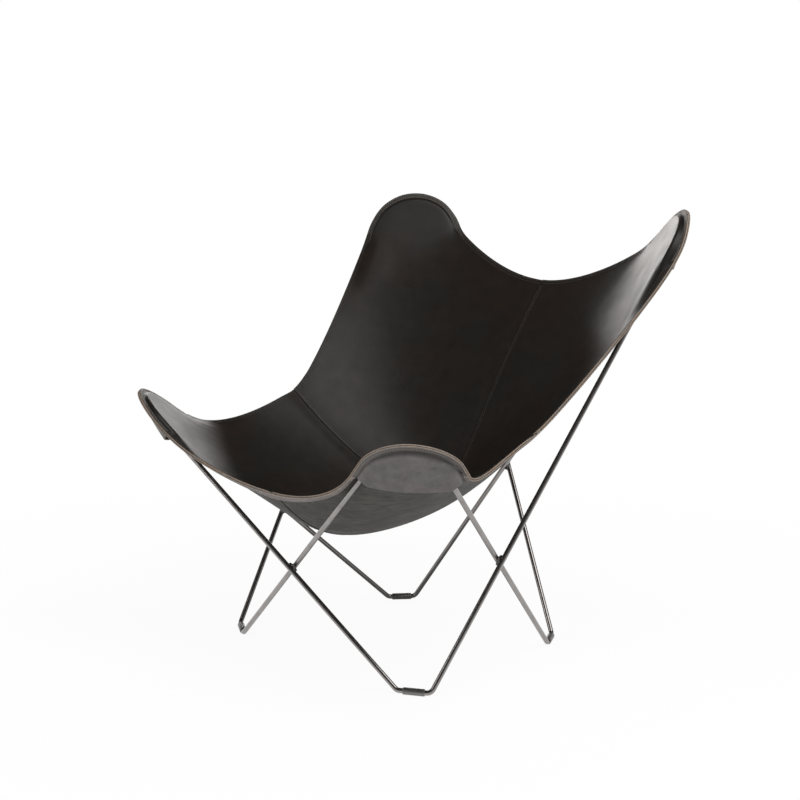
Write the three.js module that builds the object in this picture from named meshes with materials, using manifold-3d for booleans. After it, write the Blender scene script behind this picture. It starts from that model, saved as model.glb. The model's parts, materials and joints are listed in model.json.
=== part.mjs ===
// A butterfly sling chair. Two loops of bent steel rod cross on all four sides and are welded there.
// A thick leather sling of four panels hangs in them, with a pocket over each of the four tips.
// Millimetres, +Z up, floor at z = 0. The sitter faces -Y, so +X is on the sitter's left.
import * as THREE from "three";
import { mergeVertices } from "three/addons/utils/BufferGeometryUtils.js";
import Module from "manifold-3d";

// Rod, foot sleeves and welds
const rodDiameter = 10.5;
const rodSides = 12;
const footBendRadius = 14.5;
const footBendSteps = 5;
const loopSteps = 14;
const sleeveDiameter = 14.5;
const sleeveLength = 44;
const sleeveChamfer = 1.2;
const sleeveSides = 24;
const fitGap = 0.3;
const weldCore = 1.4;
const weldArm = 17;
const weldThroat = 5.5;
const weldThickness = 7;
const weldSteps = 5;

// Feet: where the lines of the legs meet the foot's short level run, from the chair's centre
const frontFootInnerX = 249;
const frontFootInnerY = 239;
const frontFootOuterX = 308;
const frontFootOuterY = 203;
const backFootHighX = 208;
const backFootHighY = 246;
const backFootLowY = 196.5;

// Tips: where the lines of a tip's two legs would meet above it, and the radius that joins them
const highApexX = 460;
const highApexY = 488;
const highApexZ = 1072;
const highLoopRadius = 71;
const lowApexX = 461;
const lowApexY = 424.5;
const lowApexZ = 601.5;
const lowLoopRadius = 72;

// Leather. The flange is sewn flat as far as a step before the rod, and the mouth is the pocket's open end.
const panelThickness = 3.6;
const pocketThickness = 3;
const stripThickness = 2.6;
const stripWidth = 14.5;
const rodClearance = 1.2;
const wrapWidth = 9.5;
const pocketDepth = 98;
const reliefFade = 160;
const ridgeSlope = 0.12;
const mouthReach = 38;
const mouthSag = 26;

// The sling's outline round a tip: an arc in the loop's plane, moved and cupped at its sides
const highTip = { round: 108, reach: 24, shift: 7.5, edgeCup: 7, sideCup: -18, edgeTurn: 76, sideTurn: 71 };
const lowTip = { round: 108, reach: 28, shift: 9, edgeCup: -6, sideCup: 4, edgeTurn: 73, sideTurn: 66 };

// The sling's free edges: the middle of each, and how far its curve runs on straight from each end
const backEdge = { y: 433, z: 747, middleRun: 112, tipRun: 39 };
const frontEdge = { y: -355, z: 375, middleRun: 130, tipRun: 89 };
const sideEdge = { x: 369, y: 7, z: 498, drop: 24, flare: 5 };
const upperSideEdge = { tipRun: 67, middleRun: 61 };
const lowerSideEdge = { tipRun: 135, middleRun: 71 };

// The sling's spine in the chair's middle plane, from the seat's centre where the seams meet
const seat = { y: 84, z: 293, tilt: 6, backRun: 103, frontRun: 133 };
const spineBack = { rise: 52, run: 371 };
const spineFront = { rise: 48, run: 256 };

// How the leather hangs between them: its stiffness as a length, its weight as a radius of sag
const stiffLength = 90;
const sagRadius = 333;

// Columns of the sling's net on each stretch of its outline, and its rows: a band of rows along the
// edge, placed by the rod's distance from it, and even rows from there to the seat's centre
const edgeColumns = 5;
const tipColumns = 10;
const sideColumns = 7;
const bandRows = 4;
const innerRows = 9;
const acrossColumns = 6;

// How far the band's rows lie before the rod's middle line and past it, and the most that the line
// is taken to lie from the edge
const wrapRow = 5.5;
const ridgeRow = 0.5;
const insideRow = 8;
const rodDistanceMost = 52;

const rodRadius = rodDiameter / 2;
const crossingSpacing = rodDiameter + 2 * fitGap + weldCore;
const sleeveRadius = sleeveDiameter / 2;
const footHeight = sleeveRadius * Math.cos(Math.PI / sleeveSides);

const steel = new THREE.MeshStandardMaterial({ color: 0x1b1a19, roughness: 0.35, metalness: 0.6 });
const sleeveSteel = new THREE.MeshStandardMaterial({ color: 0x2a2826, roughness: 0.6, metalness: 0.5 });
const weldSteel = new THREE.MeshStandardMaterial({ color: 0x1a1918, roughness: 0.55, metalness: 0.5 });
const saddleLeather = new THREE.MeshStandardMaterial({ color: 0x1d1915, roughness: 0.45 });
const pocketLeather = new THREE.MeshStandardMaterial({ color: 0x2b2827, roughness: 0.5 });
const stripLeather = new THREE.MeshStandardMaterial({ color: 0x3a342d, roughness: 0.6 });

const wasm = await Module();
wasm.setup();

const vec = (x, y, z) => new THREE.Vector3(x, y, z);
const along = (point, direction, length) => point.clone().addScaledVector(direction, length);
const direction = (from, to) => to.clone().sub(from).normalize();
const radians = THREE.MathUtils.degToRad;

function smoothStep(low, high, value) {
  const t = Math.min(1, Math.max(0, (value - low) / (high - low)));
  return t * t * (3 - 2 * t);
}

// The frame

// Each loop moves half of this towards its own side, so that the legs cross with room for the weld.
function loopShift() {
  const slopes = [
    [lowApexY - frontFootInnerY, lowApexZ - footHeight],
    [highApexY - backFootHighY, highApexZ - footHeight],
  ];
  return crossingSpacing * Math.max(...slopes.map(([y, z]) => Math.hypot(y, z) / z));
}

// The x of a low leg's foot, so that the leg passes one crossing's spacing inside the high leg.
function lowFootX(highFoot, highApex, lowApex, footY) {
  const high = direction(highFoot, highApex);
  const toLow = lowApex.clone().sub(highFoot);
  toLow.addScaledVector(high, -toLow.dot(high));
  const reach = toLow.length();
  toLow.normalize();
  const cosine = crossingSpacing / reach;
  const across = high.clone().cross(toLow);
  const sine = Math.sqrt(1 - cosine * cosine);
  let normal = toLow.clone().multiplyScalar(-cosine).addScaledVector(across, sine);
  if (normal.x < 0) normal = toLow.clone().multiplyScalar(-cosine).addScaledVector(across, -sine);
  return highFoot.x + (-crossingSpacing - normal.y * (footY - highFoot.y)) / normal.x;
}

// Feet and tips of the loop whose high tip is on the side of x = side. Its low tip is on the other side.
function makeLoop(side) {
  const shift = (-side * loopShift()) / 2;
  const at = (x, y, z) => vec(x, y + shift, z);
  const highFront = at(side * frontFootOuterX, -frontFootOuterY, footHeight);
  const lowFront = at(side * frontFootInnerX, -frontFootInnerY, footHeight);
  const highBack = at(-side * backFootHighX, backFootHighY, footHeight);
  const highApex = at(side * highApexX, highApexY, highApexZ);
  const lowApex = at(-side * lowApexX, -lowApexY, lowApexZ);
  return { side, shift, highFront, lowFront, highBack, highApex, lowApex };
}

const mirrored = (v) => v.clone().multiply(vec(-1, 1, 1));

function finishLoop(loop, other) {
  const y = backFootLowY + loop.shift;
  const flip = loop.side < 0 ? (v) => v : mirrored;
  const x = lowFootX(flip(other.highFront), flip(other.highApex), flip(loop.lowApex), y);
  loop.lowBack = vec(-loop.side * x, y, footHeight);
}

// A tip: the arc between its two legs, with its own frame. "inner" points to the sitter.
function makeTip(apex, footA, footB, radius) {
  const a = direction(apex, footA);
  const b = direction(apex, footB);
  const down = a.clone().add(b).normalize();
  const halfAngle = Math.acos(a.dot(b)) / 2;
  const across = b.clone().sub(a).normalize();
  if (across.y > 0) across.negate();
  const inner = across.clone().cross(down);
  if (inner.z < 0) inner.negate();
  const top = along(apex, down, radius / Math.sin(halfAngle) - radius);
  return { apex, down, across, inner, top, radius, halfAngle };
}

// Stations of a rod of straight legs joined by arcs: each has a place and a direction.
function rodStations(corners, radii, steps) {
  const stations = [{ at: corners[0], to: direction(corners[0], corners[1]) }];
  for (let i = 1; i < corners.length - 1; i++) {
    const before = direction(corners[i], corners[i - 1]);
    const after = direction(corners[i], corners[i + 1]);
    const half = Math.acos(before.dot(after)) / 2;
    const middle = before.clone().add(after).normalize();
    const centre = along(corners[i], middle, radii[i - 1] / Math.sin(half));
    const side = after.clone().sub(before).normalize();
    const turn = Math.PI / 2 - half;
    for (let k = 0; k <= steps[i - 1]; k++) {
      const angle = turn * ((2 * k) / steps[i - 1] - 1);
      const at = along(centre, middle, -radii[i - 1] * Math.cos(angle));
      at.addScaledVector(side, radii[i - 1] * Math.sin(angle));
      const to = side.clone().multiplyScalar(Math.cos(angle)).addScaledVector(middle, Math.sin(angle));
      stations.push({ at, to });
    }
  }
  const last = corners.length - 1;
  stations.push({ at: corners[last], to: direction(corners[last - 1], corners[last]) });
  return stations;
}

// A path whose equal steps are a rod's stations, so that its straight legs need no rings.
class StationPath extends THREE.Curve {
  constructor(stations) {
    super();
    this.stations = stations;
  }
  nearest(u) {
    return this.stations[Math.round(u * (this.stations.length - 1))];
  }
  getPointAt(u) {
    return this.nearest(u).at.clone();
  }
  getTangentAt(u) {
    return this.nearest(u).to.clone();
  }
}

function rodSection(radius, sides) {
  const points = [];
  for (let i = 0; i < sides; i++) {
    const angle = (2 * Math.PI * i) / sides;
    points.push(new THREE.Vector2(radius * Math.cos(angle), radius * Math.sin(angle)));
  }
  return new THREE.Shape(points);
}

function rodGeometry(stations, radius = rodRadius) {
  const extrudePath = new StationPath(stations);
  return new THREE.ExtrudeGeometry(rodSection(radius, rodSides), { extrudePath, steps: stations.length - 1 });
}

// One hairpin: from the middle of one foot up a leg, round a tip and down to the middle of the other foot.
function hairpinStations(tip, footA, runA, footB, runB) {
  const middleA = along(footA, direction(footA, runA), footA.distanceTo(runA) / 2 - fitGap / 2);
  const middleB = along(footB, direction(footB, runB), footB.distanceTo(runB) / 2 - fitGap / 2);
  const corners = [middleA, footA, tip.apex, footB, middleB];
  const radii = [footBendRadius, tip.radius, footBendRadius];
  return rodStations(corners, radii, [footBendSteps, loopSteps, footBendSteps]);
}

// A ring that hides where two hairpins meet in a foot. One of its flats lies on the floor.
function sleeveGeometry() {
  const half = sleeveLength / 2;
  const bore = (rodRadius + fitGap) / Math.cos(Math.PI / sleeveSides);
  const lip = sleeveRadius - sleeveChamfer;
  const profile = [
    [bore, -half],
    [lip, -half],
    [sleeveRadius, -half + sleeveChamfer],
    [sleeveRadius, half - sleeveChamfer],
    [lip, half],
    [bore, half],
    [bore, -half],
  ];
  const points = profile.map(([r, z]) => new THREE.Vector2(r, z));
  return new THREE.LatheGeometry(points, sleeveSides, Math.PI / sleeveSides);
}

function sleeveMesh(name, footA, footB) {
  const mesh = new THREE.Mesh(sleeveGeometry(), sleeveSteel);
  const run = direction(footA, footB);
  const up = vec(0, 0, 1);
  const side = run.clone().cross(up);
  mesh.quaternion.setFromRotationMatrix(new THREE.Matrix4().makeBasis(side, run, up.clone()));
  mesh.position.copy(footA).add(footB).multiplyScalar(1 / 2);
  mesh.name = name;
  return mesh;
}

// Solids cut with manifold-3d
function toSolid(geometry) {
  const bare = geometry.clone();
  bare.deleteAttribute("normal");
  bare.deleteAttribute("uv");
  const merged = mergeVertices(bare);
  return new wasm.Manifold(
    new wasm.Mesh({
      numProp: 3,
      vertProperties: merged.attributes.position.array,
      triVerts: new Uint32Array(merged.index.array),
    }),
  );
}

function toGeometry(solid) {
  const mesh = solid.getMesh();
  const geometry = new THREE.BufferGeometry();
  geometry.setAttribute("position", new THREE.BufferAttribute(mesh.vertProperties, 3));
  geometry.setIndex(new THREE.BufferAttribute(mesh.triVerts, 1));
  return geometry;
}

// The places where two straight legs pass each other.
function crossing(footA, apexA, footB, apexB) {
  const u = direction(footA, apexA);
  const v = direction(footB, apexB);
  const w = footA.clone().sub(footB);
  const b = u.dot(v);
  const d = u.dot(w);
  const e = v.dot(w);
  const onA = along(footA, u, (b * e - d) / (1 - b * b));
  const onB = along(footB, v, (e - b * d) / (1 - b * b));
  return { u, v, onA, onB, centre: onA.clone().add(onB).multiplyScalar(1 / 2) };
}

// A weld: a web between two crossing legs, hollowed between its four arms, cut to lie against both rods.
function weldGeometry({ u, v, onA, onB, centre }) {
  const normal = direction(onA, onB);
  const axisX = u.clone().add(v).normalize();
  const axisY = normal.clone().cross(axisX);
  const flat = (d) => new THREE.Vector2(d.dot(axisX), d.dot(axisY)).normalize();
  const arms = [flat(u), flat(v), flat(u).negate(), flat(v).negate()];
  arms.sort((p, q) => p.angle() - q.angle());
  const points = [];
  arms.forEach((arm, i) => {
    const next = arms[(i + 1) % arms.length];
    const middle = arm.clone().add(next).normalize();
    const start = arm.clone().multiplyScalar(weldArm);
    const end = next.clone().multiplyScalar(weldArm);
    const opening = Math.acos(Math.min(1, arm.dot(next)));
    const throat = middle.multiplyScalar(weldThroat / Math.sin(opening / 2));
    const edge = new THREE.QuadraticBezierCurve(start, throat, end);
    points.push(...edge.getPoints(weldSteps).slice(0, -1));
  });
  const web = new THREE.ExtrudeGeometry(new THREE.Shape(points), { depth: weldThickness, bevelEnabled: false });
  web.translate(0, 0, -weldThickness / 2);
  web.applyMatrix4(new THREE.Matrix4().makeBasis(axisX, axisY, normal).setPosition(centre));
  const cut = (at, to) => {
    const ends = [along(at, to, -2 * weldArm), along(at, to, 2 * weldArm)];
    return toSolid(rodGeometry(rodStations(ends, [], []), (rodRadius + fitGap) / Math.cos(Math.PI / rodSides)));
  };
  return toGeometry(toSolid(web).subtract(cut(onA, u)).subtract(cut(onB, v)));
}

// The sling's outline

// Spaced points of a curve, with a first or last step as far as the mouth of a pocket.
function edgePoints(corners, count, mouthFirst) {
  const curve = new THREE.CubicBezierCurve3(...corners);
  const mouth = mouthReach / curve.getLength();
  const points = [];
  for (let k = 0; k < count; k++) {
    const share = (k / (count - 1)) * (1 - mouth);
    points.push(curve.getPointAt(mouthFirst ? 1 - share : share));
  }
  points.push(curve.getPointAt(mouthFirst ? 0 : 1));
  return mouthFirst ? points.reverse() : points;
}

// Points and directions round a tip, from one turn to the other, in degrees from its top. "side" is
// the sign of the turn on which the chair's side edge lies.
function tipOutline(tip, shape, from, to, side) {
  const centre = along(along(tip.top, tip.down, shape.round - shape.reach), tip.across, shape.shift * side);
  const points = [];
  const ways = [];
  for (let i = 0; i <= tipColumns; i++) {
    const angle = radians(from + ((to - from) * i) / tipColumns);
    const cup = angle * side < 0 ? shape.edgeCup : shape.sideCup;
    const cosine = Math.cos(angle);
    const sine = Math.sin(angle);
    const point = along(along(centre, tip.across, shape.round * sine), tip.down, -shape.round * cosine);
    points.push(point.addScaledVector(tip.inner, cup * (1 - cosine)));
    const way = tip.across.clone().multiplyScalar(shape.round * cosine);
    way.addScaledVector(tip.down, shape.round * sine).addScaledVector(tip.inner, cup * sine);
    ways.push(way.normalize().multiplyScalar(Math.sign(to - from)));
  }
  return { points, ways };
}

// One half of the outline, from the back edge's middle round a high and a low tip to the front edge's.
function halfOutline(side, high, low) {
  const outward = vec(side, 0, 0);
  const highArc = tipOutline(high, highTip, -highTip.edgeTurn, highTip.sideTurn, 1);
  const lowArc = tipOutline(low, lowTip, -lowTip.sideTurn, lowTip.edgeTurn, -1);
  const backMiddle = vec(0, backEdge.y, backEdge.z);
  const sideMiddle = vec(side * sideEdge.x, sideEdge.y, sideEdge.z);
  const frontMiddle = vec(0, frontEdge.y, frontEdge.z);
  const sideWay = vec(side * Math.tan(radians(sideEdge.flare)), -1, -Math.tan(radians(sideEdge.drop)));
  sideWay.normalize();
  const [highStart, lowStart] = [highArc.points[0], lowArc.points[0]];
  const [highEnd, lowEnd] = [highArc.points[tipColumns], lowArc.points[tipColumns]];
  const back = [
    backMiddle,
    along(backMiddle, outward, backEdge.middleRun),
    along(highStart, highArc.ways[0], -backEdge.tipRun),
    highStart,
  ];
  const upperSide = [
    highEnd,
    along(highEnd, highArc.ways[tipColumns], upperSideEdge.tipRun),
    along(sideMiddle, sideWay, -upperSideEdge.middleRun),
    sideMiddle,
  ];
  const lowerSide = [
    sideMiddle,
    along(sideMiddle, sideWay, lowerSideEdge.middleRun),
    along(lowStart, lowArc.ways[0], -lowerSideEdge.tipRun),
    lowStart,
  ];
  const front = [
    lowEnd,
    along(lowEnd, lowArc.ways[tipColumns], frontEdge.tipRun),
    along(frontMiddle, outward, frontEdge.middleRun),
    frontMiddle,
  ];
  const stretches = [
    edgePoints(back, edgeColumns, false),
    highArc.points,
    edgePoints(upperSide, sideColumns, true),
    edgePoints(lowerSide, sideColumns, false),
    lowArc.points,
    edgePoints(front, edgeColumns, true),
  ];
  return stretches.flatMap((points, i) => (i ? points.slice(1) : points));
}

const quarter = edgeColumns + tipColumns + sideColumns;
const columns = 4 * quarter;
const rows = bandRows + innerRows;

function slingOutline(tips) {
  const left = halfOutline(1, tips.backLeft, tips.frontLeft);
  const right = halfOutline(-1, tips.backRight, tips.frontRight);
  return [...left.slice(0, -1), ...right.reverse().slice(0, -1)];
}

// The spine's points at given shares of its length from the seat's centre to an edge's middle.
function spine(way, centreRun, shape, edgeMiddle, shares) {
  const centre = vec(0, seat.y, seat.z);
  const tilt = vec(0, Math.cos(radians(seat.tilt)), Math.sin(radians(seat.tilt)));
  const rise = vec(0, way * Math.cos(radians(shape.rise)), Math.sin(radians(shape.rise)));
  const corners = [
    centre,
    along(centre, tilt, way * centreRun),
    along(edgeMiddle, rise, -shape.run),
    edgeMiddle,
  ];
  const curve = new THREE.CubicBezierCurve3(...corners);
  return shares.map((share) => curve.getPointAt(share));
}

// A point seen from a tip: how far down from its top, how high over the loop's plane on the sitter's
// side, and how far inside the rod's middle line.
function seenFrom(tip, point) {
  const offset = point.clone().sub(tip.top);
  const down = offset.dot(tip.down);
  const height = offset.dot(tip.inner);
  const across = Math.abs(offset.dot(tip.across));
  const below = down - tip.radius;
  const cosine = Math.cos(tip.halfAngle);
  const sine = Math.sin(tip.halfAngle);
  const onLeg = across * sine + below * cosine > 0;
  const fromCentre = onLeg ? across * cosine - below * sine : Math.hypot(across, below);
  return { down, height, inside: tip.radius - fromCentre };
}

// The sling's net

const centreId = rows * columns;
const idOf = (row, column) => (row >= rows ? centreId : row * columns + ((column + columns) % columns));

// The outline rolled out flat round the seat's centre, with its band of rows.
function flatNet(outline, centre, rodDistances) {
  const arms = outline.map((point) => point.clone().sub(centre));
  const turns = arms.map((arm, i) => arm.angleTo(arms[(i + 1) % columns]));
  const total = turns.reduce((sum, turn) => sum + turn, 0);
  let angle = 0;
  const edge = arms.map((arm, i) => {
    const point = new THREE.Vector2(Math.cos(angle), Math.sin(angle)).multiplyScalar(arm.length());
    angle += (turns[i] * 2 * Math.PI) / total;
    return point;
  });
  const flat = [];
  for (let j = 0; j < columns; j++) {
    const way = edge[(j + 1) % columns].clone().sub(edge[(j + columns - 1) % columns]).normalize();
    const inward = new THREE.Vector2(-way.y, way.x);
    const rod = rodDistances[j];
    const band = [0, Math.min(stripWidth, rod - wrapWidth), rod - wrapRow, rod - ridgeRow, rod + insideRow];
    band.forEach((distance, i) => (flat[idOf(i, j)] = edge[j].clone().addScaledVector(inward, distance)));
    const innermost = flat[idOf(bandRows, j)];
    for (let i = 1; i < innerRows; i++)
      flat[idOf(bandRows + i, j)] = innermost.clone().multiplyScalar(1 - i / innerRows);
  }
  flat[centreId] = new THREE.Vector2();
  return flat;
}

// The net's triangles between two columns, facing the sitter.
function netFaces(fromColumn, toColumn, fromRow, toRow) {
  const faces = [];
  for (let j = fromColumn; j < toColumn; j++)
    for (let i = fromRow; i < toRow; i++) {
      const [a, b, c, d] = [idOf(i, j), idOf(i, j + 1), idOf(i + 1, j + 1), idOf(i + 1, j)];
      faces.push([a, c, b]);
      if (c !== d) faces.push([a, d, c]);
    }
  return faces;
}

// Stretch weights (cotangents) between the net's points, and the flat area that each carries.
function stretchMatrix(flat, faces) {
  const matrix = flat.map(() => new Float64Array(flat.length));
  const areas = new Float64Array(flat.length);
  for (const face of faces)
    for (let k = 0; k < 3; k++) {
      const [a, b, c] = [face[k], face[(k + 1) % 3], face[(k + 2) % 3]];
      const e = flat[b].clone().sub(flat[a]);
      const f = flat[c].clone().sub(flat[a]);
      const cross = Math.abs(e.cross(f));
      const weight = e.dot(f) / cross / 2;
      matrix[b][c] -= weight;
      matrix[c][b] -= weight;
      matrix[b][b] += weight;
      matrix[c][c] += weight;
      areas[a] += cross / 6;
    }
  return { matrix, areas };
}

// Adds the leather's stiffness against bending, taken at every point inside the outline.
function addStiffness({ matrix, areas }) {
  const total = matrix.map((row) => Float64Array.from(row));
  for (let m = columns; m < areas.length; m++) {
    const links = [];
    matrix[m].forEach((weight, i) => weight && links.push(i));
    const scale = (stiffLength * stiffLength) / areas[m];
    for (const i of links) for (const j of links) total[i][j] += scale * matrix[m][i] * matrix[m][j];
  }
  return total;
}

// Solves a symmetric system with three right-hand columns by elimination.
function solveSystem(matrix, sides) {
  const count = sides.length;
  for (let k = 0; k < count; k++) {
    const pivot = matrix[k];
    for (let i = k + 1; i < count; i++) {
      const factor = matrix[i][k] / pivot[k];
      if (!factor) continue;
      const row = matrix[i];
      for (let j = k; j < count; j++) row[j] -= factor * pivot[j];
      for (let axis = 0; axis < 3; axis++) sides[i][axis] -= factor * sides[k][axis];
    }
  }
  for (let k = count - 1; k >= 0; k--)
    for (let axis = 0; axis < 3; axis++) {
      let sum = sides[k][axis];
      for (let j = k + 1; j < count; j++) sum -= matrix[k][j] * sides[j][axis];
      sides[k][axis] = sum / matrix[k][k];
    }
  return sides;
}

// Hangs the net from its held points.
function hang(stiffness, areas, held) {
  const free = [];
  for (let i = 0; i < areas.length; i++) if (!held.has(i)) free.push(i);
  const matrix = free.map((i) => Float64Array.from(free, (j) => stiffness[i][j]));
  const sides = free.map((i) => {
    const side = [0, 0, -areas[i] / sagRadius];
    for (const [j, point] of held) {
      const weight = stiffness[i][j];
      if (weight) point.toArray().forEach((value, axis) => (side[axis] -= weight * value));
    }
    return side;
  });
  const points = [];
  for (const [id, point] of held) points[id] = point;
  solveSystem(matrix, sides).forEach((solved, k) => (points[free[k]] = vec(...solved)));
  return points;
}

function normalsOf(points, faces) {
  const normals = points.map(() => vec(0, 0, 0));
  for (const [a, b, c] of faces) {
    const u = points[b].clone().sub(points[a]);
    const normal = u.cross(points[c].clone().sub(points[a]));
    for (const id of [a, b, c]) normals[id].add(normal);
  }
  normals.forEach((normal) => normal.normalize());
  return normals;
}

function makeSling(tips) {
  const outline = slingOutline(tips);
  const centre = vec(0, seat.y, seat.z);
  const rodDistances = outline.map((point) => {
    const distances = Object.values(tips).map((tip) => {
      const { height, inside } = seenFrom(tip, point);
      return Math.hypot(height, inside);
    });
    return Math.min(rodDistanceMost, ...distances);
  });
  const flat = flatNet(outline, centre, rodDistances);
  const faces = netFaces(0, columns, 0, rows);
  const stretch = stretchMatrix(flat, faces);
  const held = new Map();
  outline.forEach((point, j) => held.set(idOf(0, j), point));
  const spines = [
    [0, 1, seat.backRun, spineBack],
    [2 * quarter, -1, seat.frontRun, spineFront],
  ];
  for (const [column, way, run, shape] of spines) {
    const ids = [];
    for (let i = 0; i <= rows; i++) ids.push(idOf(i, column));
    const shares = ids.map((id) => flat[id].length() / flat[ids[0]].length());
    spine(way, run, shape, outline[column], shares).forEach((point, i) => held.set(ids[i], point));
  }
  const points = hang(addStiffness(stretch), stretch.areas, held);
  return { points, faces, normals: normalsOf(points, faces) };
}

// Leather pieces

// The least height of the middle of a layer over the loop's plane: flat in the flange, round the rod,
// and level between the legs as far as the pocket's depth.
function layerHeight(thickness, { down, inside }) {
  const flange = (thickness + fitGap) / 2;
  const ridge = rodRadius + rodClearance + thickness / 2;
  const wrap = Math.min(1, (inside + wrapWidth) / wrapWidth);
  if (wrap < 0) return -Infinity;
  if (inside < 0) return flange + (ridge - flange) * (1 - (1 - wrap) * (1 - wrap));
  const level = ridge * (1 - smoothStep(pocketDepth, pocketDepth + reliefFade, down));
  return Math.max(level, ridge - ridgeSlope * inside);
}

// The middle of a layer: against its neighbour along the flange, pushed clear of the rods elsewhere.
function layerPoint(point, normal, tip, thickness, way) {
  const middle = along(point, normal, (way * (thickness + fitGap)) / 2);
  const seen = seenFrom(tip, middle);
  const missing = layerHeight(thickness, seen) - way * seen.height;
  return along(middle, tip.inner, way * Math.max(0, missing));
}

const tipOfColumn = (column) => Object.values(tips)[Math.floor(column / quarter) % 4];

// The middle of the panels' layer, over the whole net.
function panelLayer(sling) {
  const points = sling.points.map((point, id) => {
    const column = id % columns;
    const onSeam = column % quarter === 0 || id === centreId;
    const near = onSeam ? [] : [tipOfColumn(column)];
    const middle = along(point, sling.normals[id], (panelThickness + fitGap) / 2);
    return near.length ? layerPoint(point, sling.normals[id], near[0], panelThickness, 1) : middle;
  });
  return { points, normals: normalsOf(points, sling.faces) };
}

// A closed solid from triangles that face the sitter, with each point given on both faces of the leather.
function leatherGeometry(faces, place) {
  const numbers = new Map();
  const positions = [];
  const numberOf = (id) => {
    if (!numbers.has(id)) {
      numbers.set(id, numbers.size);
      const { inner, outer } = place(id);
      positions.push(...inner.toArray(), ...outer.toArray());
    }
    return numbers.get(id);
  };
  const index = [];
  const edges = new Set();
  for (const [a, b, c] of faces.map((face) => face.map(numberOf))) {
    index.push(2 * a, 2 * b, 2 * c, 2 * c + 1, 2 * b + 1, 2 * a + 1);
    edges.add(a + " " + b).add(b + " " + c).add(c + " " + a);
  }
  for (const edge of edges) {
    const [p, q] = edge.split(" ").map(Number);
    if (!edges.has(q + " " + p)) index.push(2 * q, 2 * p, 2 * p + 1, 2 * q, 2 * p + 1, 2 * q + 1);
  }
  const geometry = new THREE.BufferGeometry();
  geometry.setAttribute("position", new THREE.Float32BufferAttribute(positions, 3));
  geometry.setIndex(index);
  return geometry;
}

const bothFaces = (point, normal, thickness) => ({
  inner: along(point, normal, thickness / 2),
  outer: along(point, normal, -thickness / 2),
});

function panelGeometry(layer, fromColumn, seamShift) {
  const faces = netFaces(fromColumn, fromColumn + quarter, 0, rows);
  return leatherGeometry(faces, (id) =>
    bothFaces(layer.points[id].clone().add(seamShift), layer.normals[id], panelThickness),
  );
}

// A strip under a free edge, a step short of the pockets at its ends.
function stripGeometry(sling, fromColumn, toColumn) {
  return leatherGeometry(netFaces(fromColumn, toColumn, 0, 1), (id) => {
    const column = id % columns;
    const row = Math.floor(id / columns);
    const middle = along(sling.points[id], sling.normals[id], -(stripThickness + fitGap) / 2);
    const step = column === (fromColumn + columns) % columns ? 1 : column === toColumn % columns ? -1 : 0;
    if (step) {
      const next = sling.points[idOf(row, column + step)];
      middle.addScaledVector(direction(sling.points[id], next), fitGap);
    }
    return bothFaces(middle, sling.normals[id], stripThickness);
  });
}

// A pocket: the net's band round a tip, filled across under the rod. Its last chord sags as the mouth.
function pocketGeometry(sling, tip, tipMiddle) {
  const reach = tipColumns / 2 + 1;
  const places = new Map();
  const faces = netFaces(tipMiddle - reach, tipMiddle + reach, 0, bandRows);
  for (const face of faces)
    for (const id of face) {
      const point = layerPoint(sling.points[id], sling.normals[id], tip, pocketThickness, -1);
      places.set(id, point);
    }
  const chordPoint = (k, c) => {
    if (c === 0) return idOf(bandRows, tipMiddle - k);
    if (c === acrossColumns) return idOf(bandRows, tipMiddle + k);
    const id = "chord " + k + " " + c;
    const share = c / acrossColumns;
    const from = places.get(idOf(bandRows, tipMiddle - k));
    const to = places.get(idOf(bandRows, tipMiddle + k));
    const sag = mouthSag * (k / reach) ** 2 * 4 * share * (1 - share);
    places.set(id, along(from.clone().lerp(to, share), tip.down, sag));
    return id;
  };
  for (let k = 1; k <= reach; k++)
    for (let c = 0; c < acrossColumns; c++) {
      const [d, e] = [chordPoint(k, c), chordPoint(k, c + 1)];
      if (k === 1) {
        faces.push([idOf(bandRows, tipMiddle), d, e]);
      } else {
        const [a, b] = [chordPoint(k - 1, c), chordPoint(k - 1, c + 1)];
        faces.push([a, d, e], [a, e, b]);
      }
    }
  const ids = [...places.keys()];
  const numbers = new Map(ids.map((id, number) => [id, number]));
  const points = [...places.values()];
  const numbered = faces.map((face) => face.map((id) => numbers.get(id)));
  const normals = normalsOf(points, numbered);
  return leatherGeometry(numbered, (number) => bothFaces(points[number], normals[number], pocketThickness));
}

// The chair

const leftLoop = makeLoop(1);
const rightLoop = makeLoop(-1);
finishLoop(leftLoop, rightLoop);
finishLoop(rightLoop, leftLoop);

const highTipOf = (loop) => makeTip(loop.highApex, loop.highFront, loop.highBack, highLoopRadius);
const lowTipOf = (loop) => makeTip(loop.lowApex, loop.lowFront, loop.lowBack, lowLoopRadius);
const tips = {
  backLeft: highTipOf(leftLoop),
  frontLeft: lowTipOf(rightLoop),
  frontRight: lowTipOf(leftLoop),
  backRight: highTipOf(rightLoop),
};

const chair = new THREE.Group();
const frame = new THREE.Group();
const cover = new THREE.Group();
chair.add(frame, cover);

function addPiece(group, name, geometry, material) {
  const mesh = new THREE.Mesh(geometry, material);
  mesh.name = name;
  group.add(mesh);
}

function addFrame(loop, highName, lowName, frontName, backName) {
  const high = hairpinStations(highTipOf(loop), loop.highFront, loop.lowFront, loop.highBack, loop.lowBack);
  const low = hairpinStations(lowTipOf(loop), loop.lowFront, loop.highFront, loop.lowBack, loop.highBack);
  addPiece(frame, "frame_rod_" + highName, rodGeometry(high), steel);
  addPiece(frame, "frame_rod_" + lowName, rodGeometry(low), steel);
  frame.add(sleeveMesh("foot_sleeve_" + frontName, loop.lowFront, loop.highFront));
  frame.add(sleeveMesh("foot_sleeve_" + backName, loop.highBack, loop.lowBack));
}

addFrame(leftLoop, "back_left", "front_right", "front_left", "back_right");
addFrame(rightLoop, "back_right", "front_left", "front_right", "back_left");

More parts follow.
